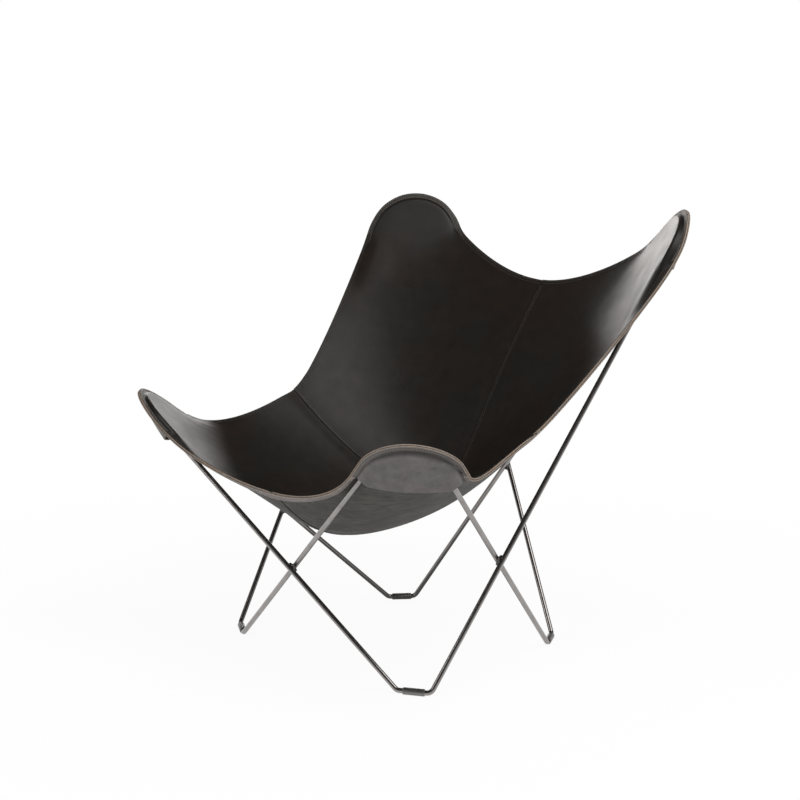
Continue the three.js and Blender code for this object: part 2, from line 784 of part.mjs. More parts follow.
function addWeld(name, footA, apexA, footB, apexB) {
  addPiece(frame, name, weldGeometry(crossing(footA, apexA, footB, apexB)), weldSteel);
}

addWeld("weld_front", leftLoop.lowFront, leftLoop.lowApex, rightLoop.lowFront, rightLoop.lowApex);
addWeld("weld_back", leftLoop.highBack, leftLoop.highApex, rightLoop.highBack, rightLoop.highApex);
addWeld("weld_left", leftLoop.highFront, leftLoop.highApex, rightLoop.lowBack, rightLoop.lowApex);
addWeld("weld_right", rightLoop.highFront, rightLoop.highApex, leftLoop.lowBack, leftLoop.lowApex);

const sling = makeSling(tips);
const layer = panelLayer(sling);
const seamHalf = fitGap / 2;
const tipPastEdge = edgeColumns + tipColumns / 2;
const tipPastSide = sideColumns + tipColumns / 2;
const corners = [
  ["back_left", tips.backLeft, tipPastEdge, vec(seamHalf, seamHalf, 0)],
  ["front_left", tips.frontLeft, tipPastSide, vec(seamHalf, -seamHalf, 0)],
  ["front_right", tips.frontRight, tipPastEdge, vec(-seamHalf, -seamHalf, 0)],
  ["back_right", tips.backRight, tipPastSide, vec(-seamHalf, seamHalf, 0)],
];
corners.forEach(([name, tip, tipMiddle, seamShift], k) => {
  addPiece(cover, "leather_panel_" + name, panelGeometry(layer, k * quarter, seamShift), saddleLeather);
  addPiece(cover, "tip_pocket_" + name, pocketGeometry(sling, tip, k * quarter + tipMiddle), pocketLeather);
});

const edgeReach = edgeColumns - 1;
const sideReach = sideColumns - 1;
const strips = [
  ["back", 0, edgeReach],
  ["left", quarter, sideReach],
  ["front", 2 * quarter, edgeReach],
  ["right", 3 * quarter, sideReach],
];
for (const [name, middle, reach] of strips)
  addPiece(cover, "edge_strip_" + name, stripGeometry(sling, middle - reach, middle + reach), stripLeather);

// The origin is under the middle of the whole chair.
const middle = new THREE.Box3().setFromObject(chair, true).getCenter(vec(0, 0, 0));
for (const group of [frame, cover]) group.position.set(-middle.x, -middle.y, 0);

export default chair;
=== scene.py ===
"""Looks of a leather butterfly chair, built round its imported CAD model.

Lengths on the chair are millimetres until its points become a mesh, and places on the stage are metres.
The sitter faces -Y, so +X is on the sitter's left.
"""

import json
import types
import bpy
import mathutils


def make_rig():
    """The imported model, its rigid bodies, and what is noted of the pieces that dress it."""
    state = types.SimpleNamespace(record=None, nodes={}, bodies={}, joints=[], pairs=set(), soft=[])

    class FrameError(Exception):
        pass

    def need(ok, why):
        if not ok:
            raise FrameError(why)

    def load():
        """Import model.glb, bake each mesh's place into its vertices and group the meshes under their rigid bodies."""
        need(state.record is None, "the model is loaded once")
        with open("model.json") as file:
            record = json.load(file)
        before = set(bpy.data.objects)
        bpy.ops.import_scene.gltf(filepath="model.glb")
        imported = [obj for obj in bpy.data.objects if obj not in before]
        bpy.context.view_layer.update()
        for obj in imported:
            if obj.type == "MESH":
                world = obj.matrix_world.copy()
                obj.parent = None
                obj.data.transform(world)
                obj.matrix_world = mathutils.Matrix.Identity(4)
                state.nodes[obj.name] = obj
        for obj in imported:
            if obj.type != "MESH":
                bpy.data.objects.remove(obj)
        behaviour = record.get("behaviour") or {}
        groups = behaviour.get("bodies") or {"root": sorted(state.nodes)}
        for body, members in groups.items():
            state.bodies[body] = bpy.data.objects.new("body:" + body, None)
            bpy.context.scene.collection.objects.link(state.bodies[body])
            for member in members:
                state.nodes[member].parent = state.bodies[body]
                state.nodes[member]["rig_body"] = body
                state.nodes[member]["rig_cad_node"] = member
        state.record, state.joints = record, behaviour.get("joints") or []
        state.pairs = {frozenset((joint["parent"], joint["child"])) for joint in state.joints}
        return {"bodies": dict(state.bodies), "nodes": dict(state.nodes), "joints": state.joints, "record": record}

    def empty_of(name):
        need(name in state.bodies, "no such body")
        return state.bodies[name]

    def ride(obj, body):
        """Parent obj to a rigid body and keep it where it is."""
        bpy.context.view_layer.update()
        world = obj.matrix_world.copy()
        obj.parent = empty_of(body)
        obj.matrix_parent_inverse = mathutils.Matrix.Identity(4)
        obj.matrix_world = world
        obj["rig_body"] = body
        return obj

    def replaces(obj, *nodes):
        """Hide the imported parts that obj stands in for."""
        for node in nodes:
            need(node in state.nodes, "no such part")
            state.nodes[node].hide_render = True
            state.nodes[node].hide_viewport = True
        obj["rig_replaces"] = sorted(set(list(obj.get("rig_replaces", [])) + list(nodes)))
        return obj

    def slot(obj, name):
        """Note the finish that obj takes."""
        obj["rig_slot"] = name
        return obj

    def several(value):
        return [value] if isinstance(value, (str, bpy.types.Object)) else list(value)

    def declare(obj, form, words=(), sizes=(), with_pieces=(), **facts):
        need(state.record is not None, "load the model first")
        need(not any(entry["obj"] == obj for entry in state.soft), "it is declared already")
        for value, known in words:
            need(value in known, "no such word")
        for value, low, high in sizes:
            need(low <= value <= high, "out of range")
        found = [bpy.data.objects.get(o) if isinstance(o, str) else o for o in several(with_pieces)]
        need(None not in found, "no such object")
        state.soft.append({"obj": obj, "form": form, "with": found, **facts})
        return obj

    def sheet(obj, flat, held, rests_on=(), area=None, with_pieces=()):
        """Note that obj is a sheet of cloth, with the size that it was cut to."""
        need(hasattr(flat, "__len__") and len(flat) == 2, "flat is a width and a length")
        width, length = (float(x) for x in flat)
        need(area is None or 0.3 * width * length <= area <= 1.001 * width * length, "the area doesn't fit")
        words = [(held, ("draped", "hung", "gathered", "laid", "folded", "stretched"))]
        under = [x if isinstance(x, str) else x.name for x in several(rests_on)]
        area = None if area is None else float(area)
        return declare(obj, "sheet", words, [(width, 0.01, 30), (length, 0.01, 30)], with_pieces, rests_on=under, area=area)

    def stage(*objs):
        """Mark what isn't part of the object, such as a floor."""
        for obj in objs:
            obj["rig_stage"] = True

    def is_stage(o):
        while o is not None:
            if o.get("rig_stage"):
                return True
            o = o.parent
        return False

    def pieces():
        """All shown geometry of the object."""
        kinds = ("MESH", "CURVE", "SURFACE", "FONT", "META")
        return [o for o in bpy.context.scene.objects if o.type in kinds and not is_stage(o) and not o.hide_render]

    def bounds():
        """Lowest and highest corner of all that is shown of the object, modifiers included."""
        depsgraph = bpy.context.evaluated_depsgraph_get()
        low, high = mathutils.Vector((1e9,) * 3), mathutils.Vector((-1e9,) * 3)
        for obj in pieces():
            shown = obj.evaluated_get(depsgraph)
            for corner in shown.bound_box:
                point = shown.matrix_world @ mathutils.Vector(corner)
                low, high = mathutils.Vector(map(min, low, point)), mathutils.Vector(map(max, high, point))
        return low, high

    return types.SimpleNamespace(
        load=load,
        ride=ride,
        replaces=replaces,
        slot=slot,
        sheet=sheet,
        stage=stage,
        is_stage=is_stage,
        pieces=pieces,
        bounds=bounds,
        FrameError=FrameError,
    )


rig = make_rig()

bl_info = {
    "name": "Butterfly sling chair",
    "version": (1, 0, 0),
    "blender": (4, 5, 0),
    "location": "3D View > Sidebar > Chair",
    "description": "Builds a leather sling chair on a frame of bent steel rod",
    "category": "Add Mesh",
}

import functools
import json

import bpy
import numpy as np
from mathutils import Matrix

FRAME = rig.load()
CAD_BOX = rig.bounds()
MM = 0.001

# This is taken off every place, so that the chair is centred over its own bounding box
CENTRE = np.array([-0.005, 23.25, 0.0])

# Feet: where the lines of the legs meet each foot's level run
FRONT_INNER = (249.0, -239.0)
FRONT_OUTER = (308.0, -203.0)
BACK_HIGH = (208.0, 246.0)
BACK_LOW_Y = 196.5
FOOT_HEIGHT = 7.188
FOOT_BEND = 14.5
CROSSING = 12.5

# Tips: where the lines of a tip's two legs would meet, and the radius that joins them
HIGH_APEX = (460.0, 488.0, 1072.0)
HIGH_RADIUS = 71.0
LOW_APEX = (461.0, 424.5, 601.5)
LOW_RADIUS = 72.0

# The sling's outline round a tip: an arc, cupped and ended apart towards its two free edges
HIGH_TIP = dict(
    round=108.0, reach=24.5, shift=8.0, edge_cup=2.7, side_cup=-18.0, edge_turn=75.0, side_turn=72.5
)
LOW_TIP = dict(
    round=103.5, reach=31.0, shift=6.5, edge_cup=-7.8, side_cup=7.0, edge_turn=74.5, side_turn=79.0
)
# Its free edges: each one's middle, slopes there in degrees, and the curves' runs there and at the tips
BACK_EDGE = dict(y=432.5, z=748.0, middle_run=136.0, tip_run=24.0)
FRONT_EDGE = dict(y=-355.0, z=375.0, middle_run=136.0, tip_run=80.0)
SIDE_EDGE = dict(x=368.0, y=7.5, z=498.8, drop=21.8, flare=1.2)
UPPER_SIDE = dict(tip_run=63.0, middle_run=61.5)
LOWER_SIDE = dict(tip_run=86.5, middle_run=119.5)

# Pockets: how far each reaches along the outline from the tip's top, to the same two sides
HIGH_POCKET = dict(edge=160.0, side=170.0)
LOW_POCKET = dict(edge=165.0, side=162.0)
MOUTH_SAG = 15.0

# The spine in the chair's middle plane, and how the leather hangs
SEAT = dict(y=84.0, z=293.0, tilt=6.0, back_run=103.0, front_run=133.0)
SPINE_BACK = dict(rise=52.0, run=371.0)
SPINE_FRONT = dict(rise=48.0, run=256.0)
STIFF_LENGTH = 90.0
SAG_RADIUS = 333.0

# The sling's net: coarse columns in each quarter, fine columns to a coarse one, and rings
COARSE = 22
FINE = 5
RINGS = 20
QUARTER = COARSE * FINE
# Steps of the curves that the outline and the spine are read from
ARC_STEPS = 60
EDGE_STEPS = 200
SPINE_STEPS = 400
# How far each way the outline is searched for its nearest column
NEAR_COLUMNS = 30
# The net answers this far past its rim, as a share of the way out
PAST_RIM = 1.02
# Steps over which the normals of the hanging net and of the layers are taken
NET_STEP = 1.5
LAYER_STEP = 1.0

CORNERS = ("back_left", "front_left", "front_right", "back_right")


def linear(code):
    """A colour written as sRGB hex, in the linear values that shaders take."""
    values = [int(code[i : i + 2], 16) / 255 for i in (1, 3, 5)]
    return [v / 12.92 if v <= 0.04045 else ((v + 0.055) / 1.055) ** 2.4 for v in values]


# Sizes and colours that a user would change


def length_setting(label, description, metres):
    return bpy.props.FloatProperty(name=label, description=description, default=metres, unit="LENGTH")


def colour_setting(label, description, code):
    return bpy.props.FloatVectorProperty(
        name=label, description=description, subtype="COLOR", default=linear(code)
    )


class ChairFrameSettings(bpy.types.PropertyGroup):
    rod_diameter: length_setting("Rod diameter", "Thickness of the bent rods", 0.0105)
    sleeve_diameter: length_setting("Sleeve diameter", "Thickness of the sleeves in the feet", 0.0145)
    sleeve_length: length_setting("Sleeve length", "Length of the sleeves in the feet", 0.044)
    rod_colour: colour_setting("Rod", "Colour of the blackened rods", "#94908e")
    sleeve_colour: colour_setting("Sleeve", "Colour of the sleeves", "#7d7a78")


class ChairLeatherSettings(bpy.types.PropertyGroup):
    panel_thickness: length_setting("Hide thickness", "Thickness of the sling's panels", 0.0036)
    pocket_thickness: length_setting("Pocket thickness", "Thickness of the pockets", 0.003)
    strip_thickness: length_setting("Strip thickness", "Thickness of the edge strips", 0.0026)
    stitch_pitch: length_setting("Stitch pitch", "Distance from one stitch to the next", 0.0055)
    grain_colour: colour_setting("Grain side", "Colour of the hide's smooth side", "#211c18")
    flesh_colour: colour_setting("Flesh side", "Colour of the hide's rough side", "#363531")
    edge_colour: colour_setting("Cut edge", "Colour of the hide's raw edge", "#94877a")
    pocket_colour: colour_setting("Pocket", "Colour of the pockets", "#666260")
    # The strips are painted lighter than the pockets, as a painted reflection of the floor
    strip_colour: colour_setting("Strip", "Colour of the edge strips", "#8f8882")
    thread_colour: colour_setting("Thread", "Colour of the tips' thread", "#807a72")
    seam_thread_colour: colour_setting("Seam thread", "Colour of the other thread", "#3b3631")


class ChairStageSettings(bpy.types.PropertyGroup):
    floor_colour: colour_setting("Floor", "Colour of the floor", "#f4f4f4")


# Small geometry


def unit(v):
    return v / np.linalg.norm(v, axis=-1, keepdims=True)


def bezier(a, b, c, d, count):
    t = np.linspace(0, 1, count + 1)[:, None]
    return a * (1 - t) ** 3 + 3 * b * t * (1 - t) ** 2 + 3 * c * t * t * (1 - t) + d * t**3


def lengths(points):
    steps = np.linalg.norm(np.diff(points, axis=0), axis=1)
    return np.concatenate([[0.0], np.cumsum(steps)])


def between(wanted, known, values):
    """Rows of values, read off where their known places reach the wanted ones."""
    return np.stack([np.interp(wanted, known, values[:, k]) for k in range(values.shape[1])], 1)


def even_points(curve, steps):
    known = lengths(curve)
    return between(np.linspace(0, known[-1], steps + 1), known, curve)


def smooth_step(low, high, value):
    t = np.clip((value - low) / (high - low), 0, 1)
    return t * t * (3 - 2 * t)


def soft_positive(value, softness):
    """The value where it is above 0, easing to 0 below it."""
    return (value + np.sqrt(value * value + softness * softness)) / 2


def circle(sides):
    """The angles of a ring's points."""
    return np.linspace(0, 2 * np.pi, sides + 1)[:-1]


def ring_faces(rings, sides, closed=False):
    """Faces round a row of rings: back to the first ring where closed, and with two end faces otherwise."""
    faces = []
    for i in range(rings if closed else rings - 1):
        step = (i + 1) % rings * sides - i * sides
        for j in range(sides):
            a, b = i * sides + j, i * sides + (j + 1) % sides
            faces.append([a, b, b + step, a + step])
    if not closed:
        faces.append(list(range(sides))[::-1])
        faces.append([(rings - 1) * sides + k for k in range(sides)])
    return faces


# The frame's lines


class Tip:
    """The bend that joins two legs, with its own axes. "inner" points to the sitter."""

    def __init__(self, apex, foot_a, foot_b, radius):
        a, b = unit(foot_a - apex), unit(foot_b - apex)
        self.apex = apex
        self.radius = radius
        self.down = unit(a + b)
        self.half = np.arccos(a @ b) / 2
        across = unit(b - a)
        self.across = across if across[1] < 0 else -across
        inner = np.cross(self.across, self.down)
        self.inner = inner if inner[2] > 0 else -inner
        self.top = apex + self.down * (radius / np.sin(self.half) - radius)

    def see(self, points):
        """How far down from the top, how high on the sitter's side and how far inside the rod points lie."""
        offset = points - self.top
        down, height = offset @ self.down, offset @ self.inner
        across = np.abs(offset @ self.across)
        below = down - self.radius
        c, s = np.cos(self.half), np.sin(self.half)
        from_centre = np.where(across * s + below * c > 0, across * c - below * s, np.hypot(across, below))
        return down, height, self.radius - from_centre


def loop_shift():
    """How far apart the two loops stand, so that their legs cross with room for a weld."""
    slopes = [
        (LOW_APEX[1] + FRONT_INNER[1], LOW_APEX[2] - FOOT_HEIGHT),
        (HIGH_APEX[1] - BACK_HIGH[1], HIGH_APEX[2] - FOOT_HEIGHT),
    ]
    return CROSSING * max(np.hypot(y, z) / z for y, z in slopes)


def low_foot_x(high_foot, high_apex, low_apex, foot_y):
    """The x of a low leg's foot, so that the leg passes one crossing's spacing inside the high leg."""
    high = unit(high_apex - high_foot)
    to_low = low_apex - high_foot
    to_low = to_low - high * (to_low @ high)
    reach = np.linalg.norm(to_low)
    to_low = to_low / reach
    cosine = CROSSING / reach
    side = np.cross(high, to_low) * np.sqrt(1 - cosine**2)
    normal = -to_low * cosine + side
    if normal[0] < 0:
        normal = -to_low * cosine - side
    return high_foot[0] + (-CROSSING - normal[1] * (foot_y - high_foot[1])) / normal[0]


def make_loop(side):
    shift = np.array([0, -side * loop_shift() / 2, 0])

    def at(x, y, z):
        return np.array([x, y, z]) + shift

    return {
        "side": side,
        "shift": shift[1],
        "high_front": at(side * FRONT_OUTER[0], FRONT_OUTER[1], FOOT_HEIGHT),
        "low_front": at(side * FRONT_INNER[0], FRONT_INNER[1], FOOT_HEIGHT),
        "high_back": at(-side * BACK_HIGH[0], BACK_HIGH[1], FOOT_HEIGHT),
        "high_apex": at(side * HIGH_APEX[0], HIGH_APEX[1], HIGH_APEX[2]),
        "low_apex": at(-side * LOW_APEX[0], -LOW_APEX[1], LOW_APEX[2]),
    }


@functools.lru_cache
def loops():
    left, right = make_loop(1), make_loop(-1)
    for loop, other in ((left, right), (right, left)):
        flip = np.array([1.0 if loop["side"] < 0 else -1.0, 1, 1])
        y = BACK_LOW_Y + loop["shift"]
        x = low_foot_x(other["high_front"] * flip, other["high_apex"] * flip, loop["low_apex"] * flip, y)
        loop["low_back"] = np.array([-loop["side"] * x, y, FOOT_HEIGHT])
    return left, right


@functools.lru_cache
def tips():
    left, right = loops()
    made = {}
    for name, loop, level, radius in (
        ("back_left", left, "high", HIGH_RADIUS),
        ("front_left", right, "low", LOW_RADIUS),
        ("front_right", left, "low", LOW_RADIUS),
        ("back_right", right, "high", HIGH_RADIUS),
    ):
        apex, front, back = (loop[level + end] for end in ("_apex", "_front", "_back"))
        made[name] = Tip(apex, front, back, radius)
    return made


def rod_line(corners, radii, steps):
    """Points and directions along straight legs joined by arcs."""
    points, ways = [corners[0]], [unit(corners[1] - corners[0])]
    for corner, before, after, radius, count in zip(corners[1:-1], corners, corners[2:], radii, steps):
        back, on = unit(before - corner), unit(after - corner)
        half = np.arccos(back @ on) / 2
        middle, side = unit(back + on), unit(on - back)
        centre = corner + middle * radius / np.sin(half)
        for angle in np.linspace(-1, 1, count + 1) * (np.pi / 2 - half):
            points.append(centre - middle * radius * np.cos(angle) + side * radius * np.sin(angle))
            ways.append(side * np.cos(angle) + middle * np.sin(angle))
    points.append(corners[-1])
    ways.append(unit(corners[-1] - corners[-2]))
    return np.array(points), np.array(ways)


# The sling's outline and net


def tip_arc(tip, shape, start, end, side):
    """Points and directions of the outline round a tip, from one angle in degrees to another."""
    centre = tip.top + tip.down * (shape["round"] - shape["reach"]) + tip.across * shape["shift"] * side
    angle = np.radians(np.linspace(start, end, ARC_STEPS + 1))
    cup = np.where(angle * side < 0, shape["edge_cup"], shape["side_cup"])
    c, s = np.cos(angle), np.sin(angle)
    points = (
        centre
        + shape["round"] * (s[:, None] * tip.across - c[:, None] * tip.down)
        + (cup * (1 - c))[:, None] * tip.inner
    )
    ways = unit(
        shape["round"] * (c[:, None] * tip.across + s[:, None] * tip.down) + (cup * s)[:, None] * tip.inner
    )
    return points, ways


def free_edge(start, start_run, end, end_run):
    return bezier(start, start + start_run, end - end_run, end, EDGE_STEPS)


def half_outline(side, high, low):
    """Two quarters of the outline, each as three stretches: an edge, a tip and an edge."""
    outward = np.array([side, 0.0, 0.0])
    high_points, high_ways = tip_arc(high, HIGH_TIP, -HIGH_TIP["edge_turn"], HIGH_TIP["side_turn"], 1)
    low_points, low_ways = tip_arc(low, LOW_TIP, -LOW_TIP["side_turn"], LOW_TIP["edge_turn"], -1)
    back = np.array([0, BACK_EDGE["y"], BACK_EDGE["z"]])
    middle = np.array([side * SIDE_EDGE["x"], SIDE_EDGE["y"], SIDE_EDGE["z"]])
    front = np.array([0, FRONT_EDGE["y"], FRONT_EDGE["z"]])
    flare, drop = np.tan(np.radians([SIDE_EDGE["flare"], SIDE_EDGE["drop"]]))
    way = unit(np.array([side * flare, -1, -drop]))
    upper = [
        free_edge(
            back, outward * BACK_EDGE["middle_run"], high_points[0], high_ways[0] * BACK_EDGE["tip_run"]
        ),
        high_points,
        free_edge(
            high_points[-1], high_ways[-1] * UPPER_SIDE["tip_run"], middle, way * UPPER_SIDE["middle_run"]
        ),
    ]
    lower = [
        free_edge(middle, way * LOWER_SIDE["middle_run"], low_points[0], low_ways[0] * LOWER_SIDE["tip_run"]),
        low_points,
        free_edge(
            low_points[-1], low_ways[-1] * FRONT_EDGE["tip_run"], front, -outward * FRONT_EDGE["middle_run"]
        ),
    ]
    return upper, lower


class Sling:
    """The leather's middle surface before it is pushed off the rods, as a function of its flat pattern."""

    def __init__(self):
        t = tips()
        left = half_outline(1, t["back_left"], t["front_left"])
        right = half_outline(-1, t["back_right"], t["front_right"])
        back_right, front_right = ([p[::-1] for p in stretches[::-1]] for stretches in right)
        quarters = [*left, front_right, back_right]
        outline, self.pockets = [], []
        for quarter, stretches in enumerate(quarters):
            curve = np.concatenate([p if i == 0 else p[1:] for i, p in enumerate(stretches)])
            total = lengths(curve)[-1]
            outline.append(even_points(curve, QUARTER)[:-1])
            tip, pocket = (LOW_TIP, LOW_POCKET) if quarter in (1, 2) else (HIGH_TIP, HIGH_POCKET)
            ends = ("edge", "side") if quarter in (0, 2) else ("side", "edge")
            turns = [tip[end + "_turn"] for end in ends]
            top = lengths(stretches[0])[-1] + lengths(stretches[1])[-1] * turns[0] / sum(turns)
            self.pockets.append((top - pocket[ends[0]], top + pocket[ends[1]], total))
        self.outline = np.concatenate(outline)
        self.pole = np.array([0, SEAT["y"], SEAT["z"]])
        self.roll_out()
        self.hang()

    def roll_out(self):
        """The cone over the outline from the seat's centre, rolled out flat and opened to a full turn."""
        arms = self.outline - self.pole
        self.radii = np.linalg.norm(arms, axis=1)
        ways = unit(arms)
        turns = np.arccos(np.clip((ways * np.roll(ways, -1, 0)).sum(1), -1, 1))
        self.angles = np.concatenate([[0.0], np.cumsum(turns)]) * 2 * np.pi / turns.sum()
        flat = self.radii[:, None] * np.stack([np.cos(self.angles[:-1]), np.sin(self.angles[:-1])], 1)
        self.edge = np.concatenate([flat, flat[:1]])
        tangent = unit(np.roll(flat, -1, 0) - np.roll(flat, 1, 0))
        tangent = np.concatenate([tangent, tangent[:1]])
        self.inward = np.stack([-tangent[:, 1], tangent[:, 0]], 1)

    def spine(self, way, run, shape, end):
        tilt, rise = np.radians([SEAT["tilt"], shape["rise"]])
        centre_way = np.array([0, np.cos(tilt), np.sin(tilt)]) * way
        end_way = np.array([0, way * np.cos(rise), np.sin(rise)])
        start_run, end_run = centre_way * run, end_way * shape["run"]
        curve = bezier(self.pole, self.pole + start_run, end - end_run, end, SPINE_STEPS)
        return even_points(curve, RINGS)

    def hang(self):
        """Solves the net: stretch and bending of the flat pattern, under its weight, from its held points."""
        columns = 4 * COARSE
        rim, flat_rim = self.outline[::FINE], self.edge[:-1][::FINE]
        share = np.arange(1, RINGS + 1)[:, None, None] / RINGS
        flat = np.concatenate([[[0.0, 0.0]], (share * flat_rim).reshape(-1, 2)])
        ring, column = np.meshgrid(np.arange(RINGS), np.arange(columns), indexing="ij")

        def number(i, j):
            return np.where(i == 0, 0, 1 + (i - 1) * columns + j % columns)

        a, b = number(ring, column), number(ring + 1, column)
        c, d = number(ring + 1, column + 1), number(ring, column + 1)
        first = np.stack([a, b, c], -1).reshape(-1, 3)
        second = np.stack([a, c, d], -1)[1:].reshape(-1, 3)
        faces = np.concatenate([first, second])
        stretch, area = net_stretch(flat, faces)
        system = stretch.copy()
        for m in range(1 + (RINGS - 1) * columns):
            links = np.flatnonzero(stretch[m])
            weights = stretch[m, links]
            system[np.ix_(links, links)] += STIFF_LENGTH**2 / area[m] * np.outer(weights, weights)
        # The middle plane's points lie on the two spines, and the rim on the outline
        points, held = np.zeros((len(flat), 3)), np.zeros(len(flat), bool)
        spines = (
            (0, self.spine(1, SEAT["back_run"], SPINE_BACK, rim[0])),
            (2 * COARSE, self.spine(-1, SEAT["front_run"], SPINE_FRONT, rim[2 * COARSE])),
        )
        for at, curve in spines:
            ids = number(np.arange(RINGS + 1), np.full(RINGS + 1, at))
            points[ids], held[ids] = curve, True
        points[-columns:], held[-columns:] = rim, True
        free = ~held
        load = np.zeros((len(flat), 3))
        load[:, 2] = -area / SAG_RADIUS
        right_side = load[free] - system[np.ix_(free, held)] @ points[held]
        points[free] = np.linalg.solve(system[np.ix_(free, free)], right_side)
        net = np.concatenate([np.repeat(points[:1], columns, 0), points[1:]]).reshape(RINGS + 1, columns, 3)
        # One ring more at each end, for the curves between rings
        across = np.roll(net[1], 2 * COARSE, 0)
        beyond = 2 * net[-1] - net[-2]
        self.net = np.concatenate([across[None], net, beyond[None]])

    def towards(self, flat):
        """The angle from the seat's centre to places of the flat pattern, and the outline's column there."""
        angle = np.mod(np.arctan2(flat[:, 1], flat[:, 0]), 2 * np.pi)
        return angle, np.interp(angle, self.angles, np.arange(len(self.angles)))

    def base(self, flat):
        """Points of the hanging net at places of the flat pattern, which may reach a little past its rim."""
        angle, column = self.towards(flat)
        column = column / FINE
        reach = np.interp(angle, self.angles, np.append(self.radii, self.radii[0]))
        ring = np.clip(np.hypot(flat[:, 0], flat[:, 1]) / reach, 0, PAST_RIM) * RINGS
        i = np.minimum(ring.astype(int), RINGS - 1)
        j = np.floor(column).astype(int)
        rows, columns = cubic_weights(ring - i), cubic_weights(column - j)
        total = np.zeros((len(flat), 3))
        for a in range(4):
            for b in range(4):
                weight = (rows[a] * columns[b])[:, None]
                total += weight * self.net[i + a, (j + b - 1) % (4 * COARSE)]
        return total

    def base_normal(self, flat):
        return surface_normal(self.base, flat, NET_STEP)

    def edge_near(self, flat):
        """How far places of the flat pattern lie from the outline, and which of its columns is nearest."""
        guess = np.rint(self.towards(flat)[1]).astype(int)
        window = np.arange(-NEAR_COLUMNS, NEAR_COLUMNS + 1)
        column = (guess[:, None] + window) % (len(self.edge) - 1)
        start = self.edge[column]
        step = self.edge[column + 1] - start
        offset = flat[:, None] - start
        share = np.clip((offset * step).sum(2) / (step**2).sum(2), 0, 1)
        gap = np.hypot(*np.moveaxis(offset - share[..., None] * step, 2, 0))
        best = gap.argmin(1)
        rows = np.arange(len(flat))
        return gap[rows, best], column[rows, best] + share[rows, best]

    def on_tip(self, column, fade):
        """1 where a column has a pocket behind it, and less as far as a fade beyond the pocket."""
        column = np.mod(column, 4 * QUARTER)
        first, last, total = np.array(self.pockets)[(column // QUARTER).astype(int)].T
        length = column % QUARTER / QUARTER * total
        return 1 - smooth_step(0, fade, np.maximum(first - length, length - last))

    def edge_at(self, quarter, length):
        """Columns of the outline at lengths along a quarter, which may run on into its neighbours."""
        total = self.pockets[quarter][2]
        return quarter * QUARTER + np.asarray(length) / total * QUARTER

    def along_outline(self, column, values):
        return between(np.mod(column, len(values) - 1), np.arange(len(values)), values)

    def flat_edge(self, column):
        return self.along_outline(column, self.edge)

    def flat_inward(self, column):
        return unit(self.along_outline(column, self.inward))

    def inset(self, column, depth):
        """Flat places this deep inside the outline."""
        return self.flat_edge(column) + self.flat_inward(column) * depth


def net_stretch(flat, faces):
    """How hard the points of a flat net pull on each other when it is stretched, and the area at each."""
    count = len(flat)
    stretch, area = np.zeros((count, count)), np.zeros(count)
    for k in range(3):
        p, q, r = faces[:, k], faces[:, (k + 1) % 3], faces[:, (k + 2) % 3]
        e, f = flat[q] - flat[p], flat[r] - flat[p]
        cross = e[:, 0] * f[:, 1] - e[:, 1] * f[:, 0]
        weight = (e * f).sum(1) / cross / 2
        np.add.at(stretch, (q, r), -weight)
        np.add.at(stretch, (r, q), -weight)
        np.add.at(stretch, (q, q), weight)
        np.add.at(stretch, (r, r), weight)
        np.add.at(area, p, cross / 6)
    return stretch, area


def cubic_weights(t):
    """Shares of four neighbours in a value between the middle two."""
    return (
        ((-t + 2) * t - 1) * t / 2,
        ((3 * t - 5) * t * t + 2) / 2,
        ((-3 * t + 4) * t + 1) * t / 2,
        (t - 1) * t * t / 2,
    )


def surface_normal(surface, flat, step):
    """Unit normals of a surface over the flat pattern, on the sitter's side."""
    east, north = np.array([step, 0]), np.array([0, step])
    along = surface(flat + east) - surface(flat - east)
    across = surface(flat + north) - surface(flat - north)
    return -unit(np.cross(along, across))


@functools.lru_cache
def sling():
    return Sling()


# Leather layers

# The rod's thickness, the gap between sheets, and the slack over a rod
ROD = 10.5
GAP = 0.3
CLEARANCE = 1.2
# How far down a tip the layers stay off its rod, and how far below it and inside the rod's bend that fades
POCKET_DEPTH = 98.0
RELIEF_FADE = 160.0
RIDGE_REACH = 130.0
# The sewn flange: its width, the step past it, and how far and where it is pressed up
FLANGE = 12.5
FLANGE_STEP = 6.5
FLANGE_RISE = 1.0
FLANGE_FADE = 8.0
TIP_FADE = 30.0
# A pocket's belly, and how far past the flange it takes to swell
POCKET_BULGE = 15.0
BULGE_REACH = 30.0
# How gently a layer rises beside a rod, and leaves its own flat hang on a tip and below it
RIDGE_SOFT = 1.5
TIP_SOFT = 1.2
MORE_SOFT = 2.5
SOFT_FROM, SOFT_TO = POCKET_DEPTH - 10, POCKET_DEPTH + 60
# The slope from the edge up to a rod: its least run, and the share of it that eases in
LEAST_RUN = 0.5
SLOPE_EASE = 0.2
# Seams: the overlap, the ramp up to it, how far the two panels part there, and how much is skived off each
LAP = 11.0
LAP_RAMP = 26.0
SEAM_LIFT = 1.15
SEAM_SKIVE = 1.4
# A strip's width, and how much smaller a panel is cut than its pattern is drawn
STRIP_WIDTH = 14.5
PANEL_EASE = 0.955

# Rows of each sheet's grid from its edge, close by the stitches and then wider, and columns of the laps
SEWN_ROWS = np.linspace(0, 14, 8)
PANEL_BAND = np.concatenate([SEWN_ROWS, np.linspace(16.5, 60, 18)])
POCKET_BAND = np.concatenate([SEWN_ROWS, np.linspace(16, 26, 5)])
STRIP_ROWS = np.linspace(0, STRIP_WIDTH, 8)
LAP_STEPS = np.array([3.5, 7.0, LAP])
# Rows from those on to the seat's centre or to the pocket's mouth
PANEL_INNER = 34
POCKET_INNER = 24
# Columns of a pocket, and columns of a strip to one of the outline
POCKET_COLUMNS = 121
STRIP_DENSITY = 1.2
# Columns beside a seam over which a panel's way in turns to run along it
TURN_COLUMNS = 14
# Places of a grid are told apart to a thousandth of a millimetre
PLACES_PER_MM = 1000

